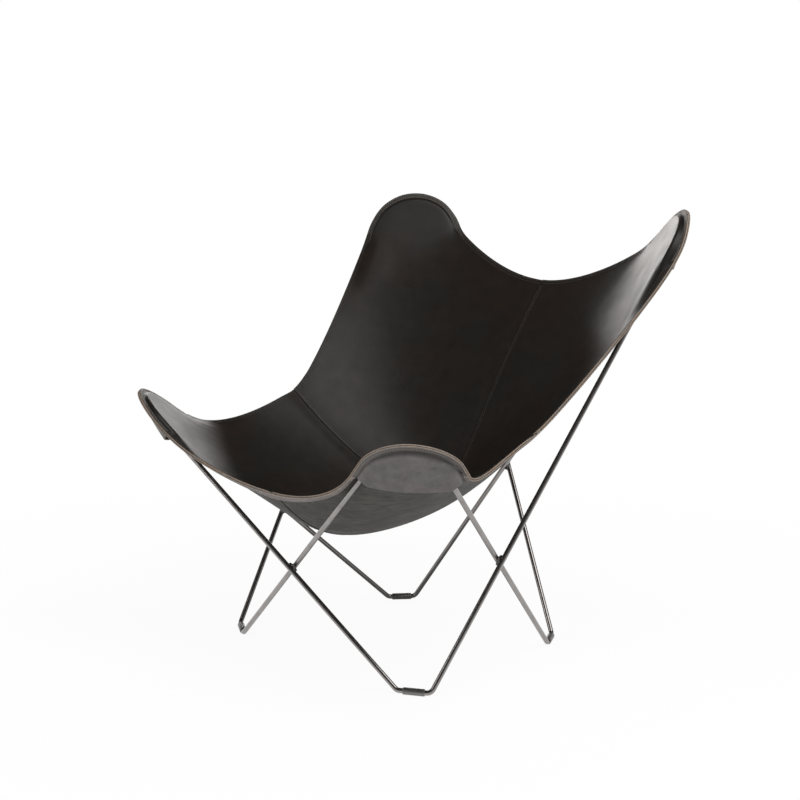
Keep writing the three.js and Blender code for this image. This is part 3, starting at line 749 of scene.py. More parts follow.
# The rim round a sheet: the radius of its lips, and the share of half the thickness that it may take
LIP_RADIUS = 0.8
LIP_SHARE = 0.7
# The rim's rings, by their angle from the sitter's side
RIM_ANGLES = np.radians([35, 70, 90, 90, 110, 145])
# The material of each band of the rim, from the sitter's side by the cut edge to the outer side
RIM_KINDS = (0, 0, 2, 2, 2, 1, 1)

# Rows of stitches, measured in from the outline and from the seams
EDGE_ROWS = (4.0, 10.0)
SEAM_ROWS = (3.5, 9.0)
# Painted light on a tip: where the flange's painted highlight ends, and the painted shade of the grooves of its rows
# and of the crease past it
FLANGE_END = (FLANGE - 1, FLANGE + 2.5)
GROOVE_SHADE = 0.75
GROOVE_WIDTH = 2.0
CREASE_SHADE = 1.1
CREASE_WIDTH = 2.6
CREASE_PLACE = FLANGE + 2
# Wear on a free edge: how much, and where it fades. The hide's raw edge shows this near to the outline
EDGE_WEAR = 0.25
EDGE_FADE = (3, 9)
RAW_REACH = 0.5


def flange_rise(distance, column):
    """How far the sewn edge of a tip is pressed up towards the sitter's side of its rod."""
    on_flange = 1 - smooth_step(FLANGE, FLANGE + FLANGE_FADE, distance)
    return FLANGE_RISE * on_flange * sling().on_tip(column, 2 * TIP_FADE)


def leather_layer(tip, thickness, way, lift=None, bulge=0.0):
    """The middle surface of a layer over the flat pattern. "way" is 1 on the sitter's side and -1 behind.

    The flange along the outline lies flat. Past it the layer steps up to clear the rods, and a bulge
    adds to that towards the pocket's mouth.
    """
    hung = sling()

    def surface(flat):
        normal = hung.base_normal(flat)
        distance, column = hung.edge_near(flat)
        rise = way * (thickness + GAP) / 2 + flange_rise(distance, column)
        point = hung.base(flat) + normal * rise[:, None]
        if lift is not None:
            point = point + normal * lift(flat)[:, None]
        down, height, inside = tip.see(point)
        pressed = hung.on_tip(column, TIP_FADE)
        blown = np.clip(down / POCKET_DEPTH, 0, 1) * smooth_step(FLANGE, FLANGE + BULGE_REACH, distance)
        ridge = ROD / 2 + CLEARANCE + thickness / 2 + bulge * blown
        level = ridge * (1 - smooth_step(POCKET_DEPTH, POCKET_DEPTH + RELIEF_FADE, down))
        # Between the edge and a rod the layer slopes up, and a tip's flange stays down
        slope = np.maximum(distance - FLANGE * pressed, 0)
        slope = slope / np.maximum(slope - np.minimum(inside, 0), LEAST_RUN)
        rod = np.where(inside >= 0, 1.0, slope * (2 - slope) * smooth_step(0, SLOPE_EASE, slope))
        over_rod = ridge * (1 - smooth_step(0, RIDGE_REACH, inside))
        needed = level + soft_positive(over_rod - level, RIDGE_SOFT) * rod
        stepped = smooth_step(FLANGE, FLANGE + FLANGE_STEP, distance) * pressed
        share = 1 - (1 - rod) * (1 - stepped)
        softness = TIP_SOFT + MORE_SOFT * smooth_step(SOFT_FROM, SOFT_TO, down)
        missing = soft_positive(needed - way * height, softness)
        return point + tip.inner * (way * missing * share)[:, None]

    return surface


def seam_frame(quarter):
    """The direction of a seam in the flat pattern, from the seat's centre, and the way across it."""
    angle = sling().angles[(quarter % 4) * QUARTER]
    return np.array([np.cos(angle), np.sin(angle)]), np.array([-np.sin(angle), np.cos(angle)])


# Whether each panel lies over (1) or under (-1) its neighbour, at its first seam and at its last
SEAM_SIDES = ((1, 1), (-1, 1), (-1, -1), (1, -1))


def seam_nearness(flat, quarter):
    """How near the flat places are to a panel's first and last seams, from 0 to 1."""
    distances = flat @ seam_frame(quarter)[1], -(flat @ seam_frame(quarter + 1)[1])
    return [1 - smooth_step(0, LAP_RAMP, distance) for distance in distances]


def panel_grid(quarter):
    """Flat places of a panel, row by row from the edge, with the laps that pass under its neighbours."""
    hung = sling()
    number = np.arange(QUARTER + 1)
    column = quarter * QUARTER + number
    start = hung.flat_edge(column)
    share = (1 - smooth_step(0, TURN_COLUMNS, np.minimum(number, QUARTER - number)))[:, None]
    inward = unit(hung.flat_inward(column) * (1 - share) - unit(start) * share)
    band = start + PANEL_BAND[:, None, None] * inward
    shares = 1 - np.arange(1, PANEL_INNER + 1) / PANEL_INNER
    grid = np.concatenate([band, band[-1] * shares[:, None, None]])
    first, last = SEAM_SIDES[quarter]
    if first < 0:
        laps = grid[:, :1] - LAP_STEPS[::-1, None] * seam_frame(quarter)[1]
        grid = np.concatenate([laps, grid], 1)
    if last < 0:
        laps = grid[:, -1:] + LAP_STEPS[:, None] * seam_frame(quarter + 1)[1]
        grid = np.concatenate([grid, laps], 1)
    return grid


def grid_faces(grid):
    rows, columns = grid.shape[:2]
    i, j = np.meshgrid(np.arange(rows - 1), np.arange(columns - 1), indexing="ij")
    a = (i * columns + j).ravel()
    return np.stack([a, a + 1, a + columns + 1, a + columns], 1)


def merged(grid):
    """The places of a grid, each only once, and its faces but for those that have no area."""
    flat = grid.reshape(-1, 2)
    keys = np.round(flat * PLACES_PER_MM).astype(np.int64)
    _, first, number = np.unique(keys, axis=0, return_index=True, return_inverse=True)
    kept = []
    for face in number.ravel()[grid_faces(grid)].tolist():
        loop = [v for k, v in enumerate(face) if v != face[k - 1]]
        if len(loop) > 2:
            kept.append(loop)
    return flat[first], kept


def boundary_loops(faces):
    edges = {(a, face[(k + 1) % len(face)]): True for face in faces for k, a in enumerate(face)}
    nexts = {a: b for a, b in edges if (b, a) not in edges}
    found = []
    while nexts:
        loop, at = [], next(iter(nexts))
        while at in nexts:
            loop.append(at)
            at = nexts.pop(at)
        found.append(loop)
    return found


def sheet_mesh(name, surface, flat, faces, thickness, materials, raw=None, wear=None):
    """A closed sheet of leather: its sitter's side, its outer side, and a rounded rim between them.

    The dye of both sides reaches round the rim's lips, and covers the whole rim where "raw" is false.
    The mark at each place runs from 1, for rubbing on a free edge and for a painted highlight on a tip's flange, to
    -1, for painted shade deep in a crease.
    """
    count = len(flat)
    middle, normal = surface(flat), surface_normal(surface, flat, LAYER_STEP)
    thickness = np.broadcast_to(thickness, count)
    wear = np.zeros(count) if wear is None else wear
    a, b, c = faces[len(faces) // 2][:3]
    if np.cross(middle[b] - middle[a], middle[c] - middle[a]) @ normal[a] < 0:
        faces = [f[::-1] for f in faces]
    rims = []
    for loop in boundary_loops(faces):
        ids = np.array(loop)
        after = middle[np.roll(ids, -1)] - middle[ids]
        before = middle[ids] - middle[np.roll(ids, 1)]
        out = unit(np.cross(unit(after) + unit(before), normal[ids]))
        half = thickness[ids] / 2
        rims.append((ids, out, half, np.minimum(LIP_RADIUS, half * LIP_SHARE)))
    for ids, out, _, radius in rims:
        middle[ids] -= out * radius[:, None]
    points = [middle + normal * thickness[:, None] / 2, middle - normal * thickness[:, None] / 2]
    polygons = list(faces) + [[v + count for v in f[::-1]] for f in faces]
    kinds = [0] * len(faces) + [1] * len(faces)
    wear_and_shade_rows = [wear, wear]
    used = 2 * count
    for ids, out, half, radius in rims:
        rings = [ids]
        for angle in RIM_ANGLES:
            side = 1 if len(rings) <= len(RIM_ANGLES) // 2 else -1
            lift = (half - radius) * side + radius * np.cos(angle)
            points.append(middle[ids] + out * (radius * np.sin(angle))[:, None] + normal[ids] * lift[:, None])
            rings.append(used + np.arange(len(ids)))
            wear_and_shade_rows.append(wear[ids])
            used += len(ids)
        rings.append(ids + count)
        for kind, upper, lower in zip(RIM_KINDS, rings, rings[1:]):
            for b in range(len(ids)):
                a = (b + 1) % len(ids)
                polygons.append([int(upper[a]), int(upper[b]), int(lower[b]), int(lower[a])])
                dyed = raw is not None and not (raw[ids[a]] and raw[ids[b]])
                kinds.append(0 if kind == 2 and dyed else kind)
    return piece_mesh(name, np.concatenate(points), polygons, materials, kinds, np.concatenate(wear_and_shade_rows))


def piece_mesh(name, points, polygons, materials, kinds=None, wear=None):
    """A smooth-shaded object from points in millimetres, before the chair is centred."""
    mesh = bpy.data.meshes.new(name)
    mesh.from_pydata((points - CENTRE) * MM, [], polygons)
    mesh.shade_smooth()
    for material in materials:
        mesh.materials.append(bpy.data.materials[material])
    if kinds is not None:
        mesh.polygons.foreach_set("material_index", kinds)
    if wear is not None:
        mesh.attributes.new(WEAR_AND_SHADE, "FLOAT", "POINT").data.foreach_set("value", wear)
    mesh.validate()
    piece = bpy.data.objects.new(name, mesh)
    bpy.context.scene.collection.objects.link(piece)
    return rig.ride(piece, "root")


def panel_surface(quarter, settings):
    """A panel's middle surface, lifted over or under its neighbours along the seams."""
    first_side, last_side = SEAM_SIDES[quarter]

    def lift(flat):
        first, last = seam_nearness(flat, quarter)
        return SEAM_LIFT * (first_side * first + last_side * last)

    return leather_layer(tips()[CORNERS[quarter]], settings.panel_thickness / MM, 1, lift)


def pocket_surface(name, settings):
    return leather_layer(tips()[name], settings.pocket_thickness / MM, -1, bulge=POCKET_BULGE)


def flange_highlight_and_shade(distance, pressed):
    """A tip's sewn flange: a painted highlight on it, with painted shade in its stitch grooves and in the crease where
    the rod begins.
    """

    def near(middle, width):
        return np.clip(1 - np.abs(distance - middle) / width, 0, 1)

    # Painted shade along the stitch rows and in the crease where the rod begins
    grooves = sum(GROOVE_SHADE * near(row, GROOVE_WIDTH) for row in EDGE_ROWS)
    grooves = grooves + CREASE_SHADE * near(CREASE_PLACE, CREASE_WIDTH)
    flange = 1 - smooth_step(*FLANGE_END, distance)
    return pressed * (flange * (1 - grooves) - grooves)


def cut_size(flat, faces, ease=1.0):
    """The sizes of the rectangle that holds a flat cut, square to the seat's centre, and its area, in metres.

    "ease" scales the cut where the pattern is drawn larger than the leather that it stands for.
    """
    out = unit(flat.mean(0))
    flat = flat * ease
    across, along = np.ptp(flat @ [-out[1], out[0]]), np.ptp(flat @ out)
    area = 0.0
    for face in faces:
        corners = flat[face]
        turned = np.roll(corners, -1, axis=0)
        area += abs((corners[:, 0] * turned[:, 1] - corners[:, 1] * turned[:, 0]).sum()) / 2
    return {"flat": (float(across * MM), float(along * MM)), "area": float(area * MM * MM)}


def make_panel(quarter, name, settings):
    flat, faces = merged(panel_grid(quarter))
    thickness = settings.panel_thickness / MM - SEAM_SKIVE * np.maximum(*seam_nearness(flat, quarter))
    distance, column = sling().edge_near(flat)
    pressed = sling().on_tip(column, TIP_FADE)
    rubbed = EDGE_WEAR * (1 - smooth_step(*EDGE_FADE, distance))
    # A painted highlight on the tips' flanges and painted shade in their grooves and crease, with rubbing on the free
    # edges
    wear = flange_highlight_and_shade(distance, pressed) + rubbed * (1 - pressed)
    surface, raw = panel_surface(quarter, settings), distance < RAW_REACH
    panel = sheet_mesh("panel_" + name, surface, flat, faces, thickness, (GRAIN, FLESH, EDGE), raw, wear)
    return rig.sheet(panel, held="hung", rests_on=["rod_" + name], **cut_size(flat, faces, PANEL_EASE))


def pocket_grid(quarter):
    """Flat places of a pocket: from the outline round the tip, column by column, to the mouth across it."""
    hung = sling()
    first, last, _ = hung.pockets[quarter]
    share = np.linspace(0, 1, POCKET_COLUMNS)[:, None]
    start = hung.flat_edge(hung.edge_at(quarter, np.linspace(first, last, POCKET_COLUMNS)))
    bow = -unit(start[0] + start[-1]) * MOUTH_SAG
    mouth = start[0] * (1 - share) + start[-1] * share + bow * 4 * share * (1 - share)
    long = np.linalg.norm(mouth - start, axis=1)
    near = np.minimum(POCKET_BAND[:, None], long)
    rest = near[-1] + (long - near[-1]) * np.arange(1, POCKET_INNER + 1)[:, None] / POCKET_INNER
    deep = np.concatenate([near, rest]) / np.maximum(long, 1e-6)
    return start + (mouth - start) * deep[..., None]


def make_pocket(quarter, name, settings):
    flat, faces = merged(pocket_grid(quarter))
    # A painted highlight on the flange, and painted shade in its grooves and crease
    wear = flange_highlight_and_shade(sling().edge_near(flat)[0], 1.0)
    surface, thickness = pocket_surface(name, settings), settings.pocket_thickness / MM
    pocket = sheet_mesh("pocket_" + name, surface, flat, faces, thickness, (FLESH, POCKET, EDGE), wear=wear)
    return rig.sheet(pocket, held="stretched", rests_on=["rod_" + name], **cut_size(flat, faces))


# The quarters that each strip runs from and to
STRIPS = {"back": (3, 0), "left": (0, 1), "front": (1, 2), "right": (2, 3)}


def strip_lengths(name):
    """Where a strip starts and ends, as column numbers of the outline."""
    hung = sling()
    before, after = STRIPS[name]
    start = hung.edge_at(before, hung.pockets[before][1] + GAP)
    end = hung.edge_at(after, hung.pockets[after][0] - GAP)
    return (start - 4 * QUARTER if start > end else start), end


def strip_surface(settings):
    hung = sling()
    panel = settings.panel_thickness / MM
    below = (panel + settings.strip_thickness / MM) / 2 + GAP
    layers = [leather_layer(tips()[name], panel, 1) for name in CORNERS]

    def surface(flat):
        quarter = (np.mod(hung.edge_near(flat)[1], 4 * QUARTER) // QUARTER).astype(int)
        points = np.empty((len(flat), 3))
        for own in np.unique(quarter):
            points[quarter == own] = layers[own](flat[quarter == own])
        return points - hung.base_normal(flat) * below

    return surface


def make_strip(name, settings):
    start, end = strip_lengths(name)
    column = np.linspace(start, end, int((end - start) * STRIP_DENSITY))
    grid = sling().inset(column, STRIP_ROWS[:, None, None])
    flat, faces = grid.reshape(-1, 2), grid_faces(grid).tolist()
    surface, thickness = strip_surface(settings), settings.strip_thickness / MM
    strip = sheet_mesh("strip_" + name, surface, flat, faces, thickness, (FLESH, STRIP, EDGE))
    long = float(lengths(grid[0])[-1] * MM)
    held_by = ["panel_" + CORNERS[quarter] for quarter in STRIPS[name]]
    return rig.sheet(strip, flat=(STRIP_WIDTH * MM, long), held="stretched", rests_on=held_by)


# Stitches, a little thicker than their thread so that they show

STITCH_LENGTH = 3.9
STITCH_RADIUS = 0.8
STITCH_RINGS = 7
STITCH_SIDES = 6
# Shares of the radius: how thin the ends are at least, how high the middle stands and how far the ends dip
STITCH_THIN, STITCH_HEIGHT, STITCH_DIP = 0.05, 0.25, 1.1
# How far a stitch leans off its row, and how far before and behind it the row's way is taken
STITCH_LEAN = 0.1
STITCH_REACH = 0.4
# Steps of a row, and where it stops short of a pocket's end, the seat's centre and the outline
ROW_STEPS = 200
END_MARGIN, CENTRE_MARGIN, RIM_MARGIN = 4, 6, 16
# Steps of a strip's row, and how many of them are left free at each end
STRIP_ROW_STEPS, STRIP_ROW_END = 300, 3


def stitch_shape():
    """One stitch along x: a rounded thread whose ends dip into the leather."""
    x, angle = np.linspace(-1, 1, STITCH_RINGS)[:, None], circle(STITCH_SIDES)
    thick = STITCH_RADIUS * np.sqrt(np.clip(1 - x**4, STITCH_THIN, 1))
    height = STITCH_RADIUS * (STITCH_HEIGHT - STITCH_DIP * x * x)
    places = (x * STITCH_LENGTH / 2 + 0 * angle, thick * np.cos(angle), thick * np.sin(angle) + height)
    return np.stack(places, -1).reshape(-1, 3), ring_faces(STITCH_RINGS, STITCH_SIDES)


def stitch_row(surface, flat, height, settings):
    """Where the stitches of one row lie: their places, directions and normals."""
    dense = surface(flat)
    known = lengths(dense)
    count = int(known[-1] / (settings.stitch_pitch / MM))
    wanted = (np.arange(count) + 0.5) * known[-1] / count
    before, after = (between(wanted + step, known, dense) for step in (-STITCH_REACH, STITCH_REACH))
    normal = surface_normal(surface, between(wanted, known, flat), LAYER_STEP)
    return (before + after) / 2 + normal * height, unit(after - before), normal * np.sign(height)


def outline_row(surface, quarter, start, end, inset, height, settings):
    """A row beside the outline, between two lengths along a quarter."""
    column = sling().edge_at(quarter, np.linspace(start + END_MARGIN, end - END_MARGIN, ROW_STEPS))
    return stitch_row(surface, sling().inset(column, inset), height, settings)


def seam_rows(quarter, surface, height, settings):
    """Rows beside the seams where this panel lies on top."""
    rows = []
    for seam, way, side in zip((quarter, quarter + 1), (1, -1), SEAM_SIDES[quarter]):
        if side > 0:
            out, across = seam_frame(seam)
            reach = sling().radii[(seam % 4) * QUARTER]
            along = np.linspace(CENTRE_MARGIN, reach - RIM_MARGIN, ROW_STEPS)[:, None]
            for inset in SEAM_ROWS:
                rows.append(stitch_row(surface, along * out + across * way * inset, height, settings))
    return rows


def make_stitches(name, rows, thread):
    """Stitches of one thread."""
    shape, faces = stitch_shape()
    points, polygons = [], []
    for place, way, normal in rows:
        side = unit(np.cross(normal, way))
        way = unit(way + side * STITCH_LEAN)
        axes = np.stack([way, np.cross(normal, way), normal], 1)
        for at, turned in zip(place, axes):
            used = len(points) * len(shape)
            points.append(at + shape @ turned)
            polygons.extend([[v + used for v in face] for face in faces])
    return piece_mesh("stitches_" + name, np.concatenate(points), polygons, [thread])


# Rods, sleeves and welds

# Sides of a rod and a sleeve, and steps of the bends in a foot and round a tip
ROD_SIDES = 28
SLEEVE_SIDES = 40
FOOT_STEPS = 14
TIP_STEPS = 64
# A sleeve's play on its rods, the bevel of its bore, and the rounding of its ends with its steps
SLEEVE_PLAY = 0.05
BORE_BEVEL = 0.4
SLEEVE_ROUNDING = 1.3
ROUNDING_STEPS = 6
# What is left of a weld's length and height once it is ground back
WELD_GRIND = 0.66


def make_rod(name, corners, radii, settings):
    steps = [FOOT_STEPS if radius == FOOT_BEND else TIP_STEPS for radius in radii]
    line, ways = rod_line(corners, radii, steps)
    radius = settings.rod_diameter / MM / 2
    angle = circle(ROD_SIDES)[:, None]
    across = unit(np.cross(ways[0], [0, 0, 1.0]))
    points = []
    for at, way in zip(line, ways):
        across = unit(across - way * (across @ way))
        points.append(at + radius * (np.cos(angle) * across + np.sin(angle) * np.cross(way, across)))
    return piece_mesh("rod_" + name, np.concatenate(points), ring_faces(len(line), ROD_SIDES), [STEEL])


def make_sleeve(name, foot_a, foot_b, settings):
    """A sleeve with rounded ends, turned round the rods that meet in it."""
    radius, half = settings.sleeve_diameter / MM / 2, settings.sleeve_length / MM / 2
    bore = ROD / 2 + SLEEVE_PLAY
    turn = np.radians(np.linspace(0, 90, ROUNDING_STEPS))
    corner = np.array([radius, half]) - SLEEVE_ROUNDING
    end = corner + SLEEVE_ROUNDING * np.stack([np.sin(turn), np.cos(turn)], 1)
    profile = np.concatenate([[[bore, half - BORE_BEVEL], [bore + BORE_BEVEL, half]], end])
    profile = np.concatenate([profile, profile[::-1] * [1, -1]])
    way, up = unit(foot_b - foot_a), np.array([0, 0, 1.0])
    angle = circle(SLEEVE_SIDES)[:, None]
    ring = np.cos(angle) * np.cross(way, up) + np.sin(angle) * up
    points = (foot_a + foot_b) / 2 + profile[:, None, 0:1] * ring + profile[:, None, 1:2] * way
    faces = ring_faces(len(profile), SLEEVE_SIDES, closed=True)
    return piece_mesh("sleeve_" + name, points.reshape(-1, 3), faces, [SLEEVE])


def make_weld(side):
    """The web between two crossing legs, as it shows once its four arms are ground back."""
    web = FRAME["nodes"]["weld_" + side]
    points = np.array([web.matrix_world @ vertex.co for vertex in web.data.vertices]) / MM + CENTRE
    middle = (points.min(0) + points.max(0)) / 2
    off = points - middle
    # The web keeps its thickness, across which its points vary least
    across = np.linalg.svd(off, full_matrices=False)[2][2]
    depth = (off @ across)[:, None] * across
    faces = [list(polygon.vertices) for polygon in web.data.polygons]
    return piece_mesh("web_" + side, middle + depth + (off - depth) * WELD_GRIND, faces, [WELD])


# Materials

GRAIN = "Saddle leather, dyed black and waxed"
FLESH = "Flesh side of saddle leather, brushed"
EDGE = "Saddle leather, raw cut edge"
POCKET = "Split leather, dyed grey-black"
STRIP = "Split leather, rubbed grey"
THREAD = "Waxed polyester thread"
SEAM_THREAD = "Waxed polyester thread, black"
STEEL = "Steel rod, black oxide and oil"
SLEEVE = "Steel tube, turned and blackened"
WELD = "Weld steel, ground and blackened"
FLOOR = "Studio floor, matt white paint"
# The sheets' attribute that marks rubbing on the free edges, a painted highlight on the tips' flanges, and painted
# shade in creases and stitch grooves
WEAR_AND_SHADE = "wear"

# The white backdrop stands this way from the chair
BACKDROP_WAY = (-0.72, 0.69, 0.0)
# The middle of the shaded floor
SHADE_PLACE = (-0.14, 0.11, 0.0)


def add_node(tree, kind, links=None, out=0, **settings):
    """Adds a shader node with its settings, and its sockets linked or set. Gives its output "out"."""
    made = tree.nodes.new("ShaderNode" + kind)
    for name, value in settings.items():
        setattr(made, name, value)
    for socket, value in (links or {}).items():
        if isinstance(value, bpy.types.NodeSocket):
            tree.links.new(value, made.inputs[socket])
        else:
            made.inputs[socket].default_value = value
    return None if out is None else made.outputs[out]


def new_material(name):
    """An empty material, with the place on the object that its patterns follow."""
    material = bpy.data.materials.new(name)
    material.use_nodes = True
    tree = material.node_tree
    tree.nodes.clear()
    return tree, add_node(tree, "TexCoord", out="Object")


def per_metre(size_mm):
    """The scale of a pattern whose marks have this real size."""
    return 1000 / size_mm


def shade(colour, scale=1.0):
    """A colour for a socket, made lighter or darker, or tinted by three scales."""
    return (*np.clip(np.array(colour) * scale, 0, 1).tolist(), 1.0)


def highlight_and_shade_marks(tree):
    """The marks for rubbing and painted highlight, and for painted shade in a crease."""
    rubbed_and_lit = add_node(tree, "Attribute", out="Fac", attribute_name=WEAR_AND_SHADE)
    return rubbed_and_lit, add_node(tree, "Math", {0: rubbed_and_lit, 1: -1.0}, operation="MULTIPLY", use_clamp=True)


def grain_leather(settings):
    # Dyed through and waxed: the eye sees near-black with faint warm and cool clouds and a soft sheen
    tree, place = new_material(GRAIN)
    base = settings.grain_colour
    clouds = {"Vector": place, "Scale": per_metre(150), "Detail": 2.0}
    clouds = add_node(tree, "MapRange", {0: add_node(tree, "TexNoise", clouds), 1: 0.38, 2: 0.62})
    patches = {"Vector": place, "Scale": per_metre(28), "Detail": 5.0, "Roughness": 0.62}
    patches = add_node(tree, "MapRange", {0: add_node(tree, "TexNoise", patches), 1: 0.32, 2: 0.68})
    warm, cool = shade(base, (1.18, 0.95, 0.86)), shade(base, (0.92, 1.06, 1.14))
    tint = add_node(tree, "Mix", {0: clouds, 6: warm, 7: cool}, 2, data_type="RGBA")
    tone = add_node(tree, "Mix", {0: patches, 6: shade(base, 0.72), 7: tint}, 2, data_type="RGBA")
    # Painted highlight: where the tips are pressed and sewn, the flange is painted grey in small patches, as where it
    # catches the light; rubbing on the free edges takes the same grey
    highlight_patches = {"Vector": place, "Scale": per_metre(7), "Detail": 5.0, "Roughness": 0.7}
    highlight_patches = add_node(tree, "MapRange", {0: add_node(tree, "TexNoise", highlight_patches), 1: 0.25, 2: 0.62, 3: 0.6, 4: 1.0})
    rubbed_and_lit, crease_shade = highlight_and_shade_marks(tree)
    rubbed_and_lit = add_node(tree, "Math", {0: rubbed_and_lit, 1: highlight_patches}, operation="MULTIPLY", use_clamp=True)
    tone = add_node(tree, "Mix", {0: rubbed_and_lit, 6: tone, 7: shade(base, (2.9, 3.3, 3.6))}, 2, data_type="RGBA")
    # Painted shade: the crease past the flange and the stitch grooves are painted darker
    tone = add_node(tree, "Mix", {0: crease_shade, 6: tone, 7: shade(base, 0.4)}, 2, data_type="RGBA")
    # Pores of the hide are 0.3 to 0.5 mm apart, and drawn at 2.2 mm so that they show
    pores = add_node(tree, "TexVoronoi", {"Vector": place, "Scale": per_metre(2.2)}, "Distance")
    folds = {"Vector": place, "Scale": per_metre(9), "Detail": 5.0, "Roughness": 0.65}
    height = add_node(tree, "Math", {0: pores, 1: add_node(tree, "TexNoise", folds)}, operation="ADD")
    bump = add_node(tree, "Bump", {"Strength": 0.08, "Distance": 0.0006, "Height": height})
    gloss = add_node(tree, "TexNoise", {"Vector": place, "Scale": per_metre(40), "Detail": 4.0})
    gloss = add_node(tree, "MapRange", {0: gloss, 1: 0.3, 2: 0.7, 3: 0.35, 4: 0.41})
    gloss = add_node(tree, "Mix", {0: rubbed_and_lit, 2: gloss, 3: 0.55}, data_type="FLOAT")
    leather = {"Base Color": tone, "Roughness": gloss, "Specular IOR Level": 0.32, "IOR": 1.5, "Normal": bump}
    add_node(tree, "OutputMaterial", {"Surface": add_node(tree, "BsdfPrincipled", leather)}, None)


def flesh_leather(settings):
    # The rough side is brushed and dyed: the eye sees matt grey-olive with long streaks and a short nap
    tree, place = new_material(FLESH)
    base = settings.flesh_colour
    brushed = {"Vector": place, "Rotation": (0.0, 0.0, 0.8), "Scale": (3.2, 1.0, 1.0)}
    brushed = add_node(tree, "Mapping", brushed, vector_type="TEXTURE")
    # Brush marks run 35 mm long and 11 mm wide, with finer ones in them
    streaks = {"Vector": brushed, "Scale": per_metre(11), "Detail": 7.0, "Roughness": 0.72, "Distortion": 0.9}
    streaks = add_node(tree, "MapRange", {0: add_node(tree, "TexNoise", streaks), 1: 0.38, 2: 0.64})
    clouds = add_node(tree, "TexNoise", {"Vector": place, "Scale": per_metre(60), "Detail": 3.0})
    clouds = add_node(tree, "MapRange", {0: clouds, 1: 0.35, 2: 0.65, 3: 0.25, 4: 1.0})
    marks = add_node(tree, "Math", {0: streaks, 1: clouds}, operation="MULTIPLY")
    dark, light = shade(base, 0.75), shade(base, (2.6, 2.45, 2.45))
    tone = add_node(tree, "Mix", {0: marks, 6: dark, 7: light}, 2, data_type="RGBA")
    # The nap is under 1 mm, and drawn at 2.5 mm so that it shows
    nap = {"Vector": place, "Scale": per_metre(2.5), "Detail": 4.0, "Roughness": 0.7}
    nap = add_node(tree, "TexNoise", nap)
    bump = add_node(tree, "Bump", {"Strength": 0.55, "Distance": 0.0008, "Height": nap})
    suede = {"Base Color": tone, "Roughness": 0.85, "Specular IOR Level": 0.3}
    suede |= {"Sheen Weight": 0.12, "Normal": bump}
    add_node(tree, "OutputMaterial", {"Surface": add_node(tree, "BsdfPrincipled", suede)}, None)


def raw_edge(settings):
    # The dye stops short of the hide's middle, so the cut shows tan fibre between dark lips
    tree, place = new_material(EDGE)
    base = settings.edge_colour
    fibres = {"Vector": place, "Scale": per_metre(5), "Detail": 5.0, "Roughness": 0.7}
    fibres = add_node(tree, "MapRange", {0: add_node(tree, "TexNoise", fibres), 1: 0.3, 2: 0.7})
    clouds = add_node(tree, "TexNoise", {"Vector": place, "Scale": per_metre(55), "Detail": 2.0})
    clouds = add_node(tree, "MapRange", {0: clouds, 1: 0.4, 2: 0.6})
    warm, cool = shade(base, (1.1, 0.92, 0.8)), shade(base, (1.0, 1.03, 1.1))
    tan = add_node(tree, "Mix", {0: clouds, 6: warm, 7: cool}, 2, data_type="RGBA")
    tone = add_node(tree, "Mix", {0: fibres, 6: shade(base, 0.55), 7: tan}, 2, data_type="RGBA")
    bump = add_node(tree, "Bump", {"Strength": 0.4, "Distance": 0.0005, "Height": fibres})
    edge = {"Base Color": tone, "Roughness": 0.7, "Normal": bump}
    add_node(tree, "OutputMaterial", {"Surface": add_node(tree, "BsdfPrincipled", edge)}, None)


def split_leather(name, base):
    tree, place = new_material(name)
    clouds = {"Vector": place, "Scale": per_metre(22), "Detail": 6.0, "Roughness": 0.66}
    clouds = add_node(tree, "MapRange", {0: add_node(tree, "TexNoise", clouds), 1: 0.32, 2: 0.68})
    drift = add_node(tree, "TexNoise", {"Vector": place, "Scale": per_metre(90), "Detail": 2.0})
    drift = add_node(tree, "MapRange", {0: drift, 1: 0.38, 2: 0.62})
    warm, cool = shade(base, (1.18, 1.08, 1.04)), shade(base, (1.04, 1.04, 1.14))
    tint = add_node(tree, "Mix", {0: drift, 6: warm, 7: cool}, 2, data_type="RGBA")
    tone = add_node(tree, "Mix", {0: clouds, 6: shade(base, 0.6), 7: tint}, 2, data_type="RGBA")
    rubbed_and_lit, crease_shade = highlight_and_shade_marks(tree)
    # Painted highlight: a pocket's sewn flange is painted a little lighter, as where it catches the light
    tone = add_node(tree, "Mix", {0: rubbed_and_lit, 6: tone, 7: shade(base, (1.15, 1.12, 1.04))}, 2, data_type="RGBA")
    # Painted shade: the crease past the flange and the stitch grooves are painted darker
    tone = add_node(tree, "Mix", {0: crease_shade, 6: tone, 7: shade(base, 0.25)}, 2, data_type="RGBA")
    # Fibres of the split are about 1 mm across once they are rolled, and drawn at 3 mm so that they show
    grain = {"Vector": place, "Scale": per_metre(3), "Detail": 5.0, "Roughness": 0.7}
    grain = add_node(tree, "TexNoise", grain)
    bump = add_node(tree, "Bump", {"Strength": 0.25, "Distance": 0.0006, "Height": grain})
    gloss = add_node(tree, "MapRange", {0: clouds, 3: 0.45, 4: 0.6})
    split = {"Base Color": tone, "Roughness": gloss, "Specular IOR Level": 0.5, "Normal": bump}
    add_node(tree, "OutputMaterial", {"Surface": add_node(tree, "BsdfPrincipled", split)}, None)


def waxed_thread(name, base):
    # Twisted and waxed: the eye sees small ticks that catch the light. The twist is about 1.5 mm long
    tree, place = new_material(name)
    twist = add_node(tree, "TexNoise", {"Vector": place, "Scale": per_metre(1.5), "Detail": 2.0})
    twist = add_node(tree, "MapRange", {0: twist, 1: 0.3, 2: 0.7})
    tone = add_node(tree, "Mix", {0: twist, 6: shade(base, 0.7), 7: shade(base, 1.2)}, 2, data_type="RGBA")
    thread = {"Base Color": tone, "Roughness": 0.4, "Specular IOR Level": 0.5}
    add_node(tree, "OutputMaterial", {"Surface": add_node(tree, "BsdfPrincipled", thread)}, None)


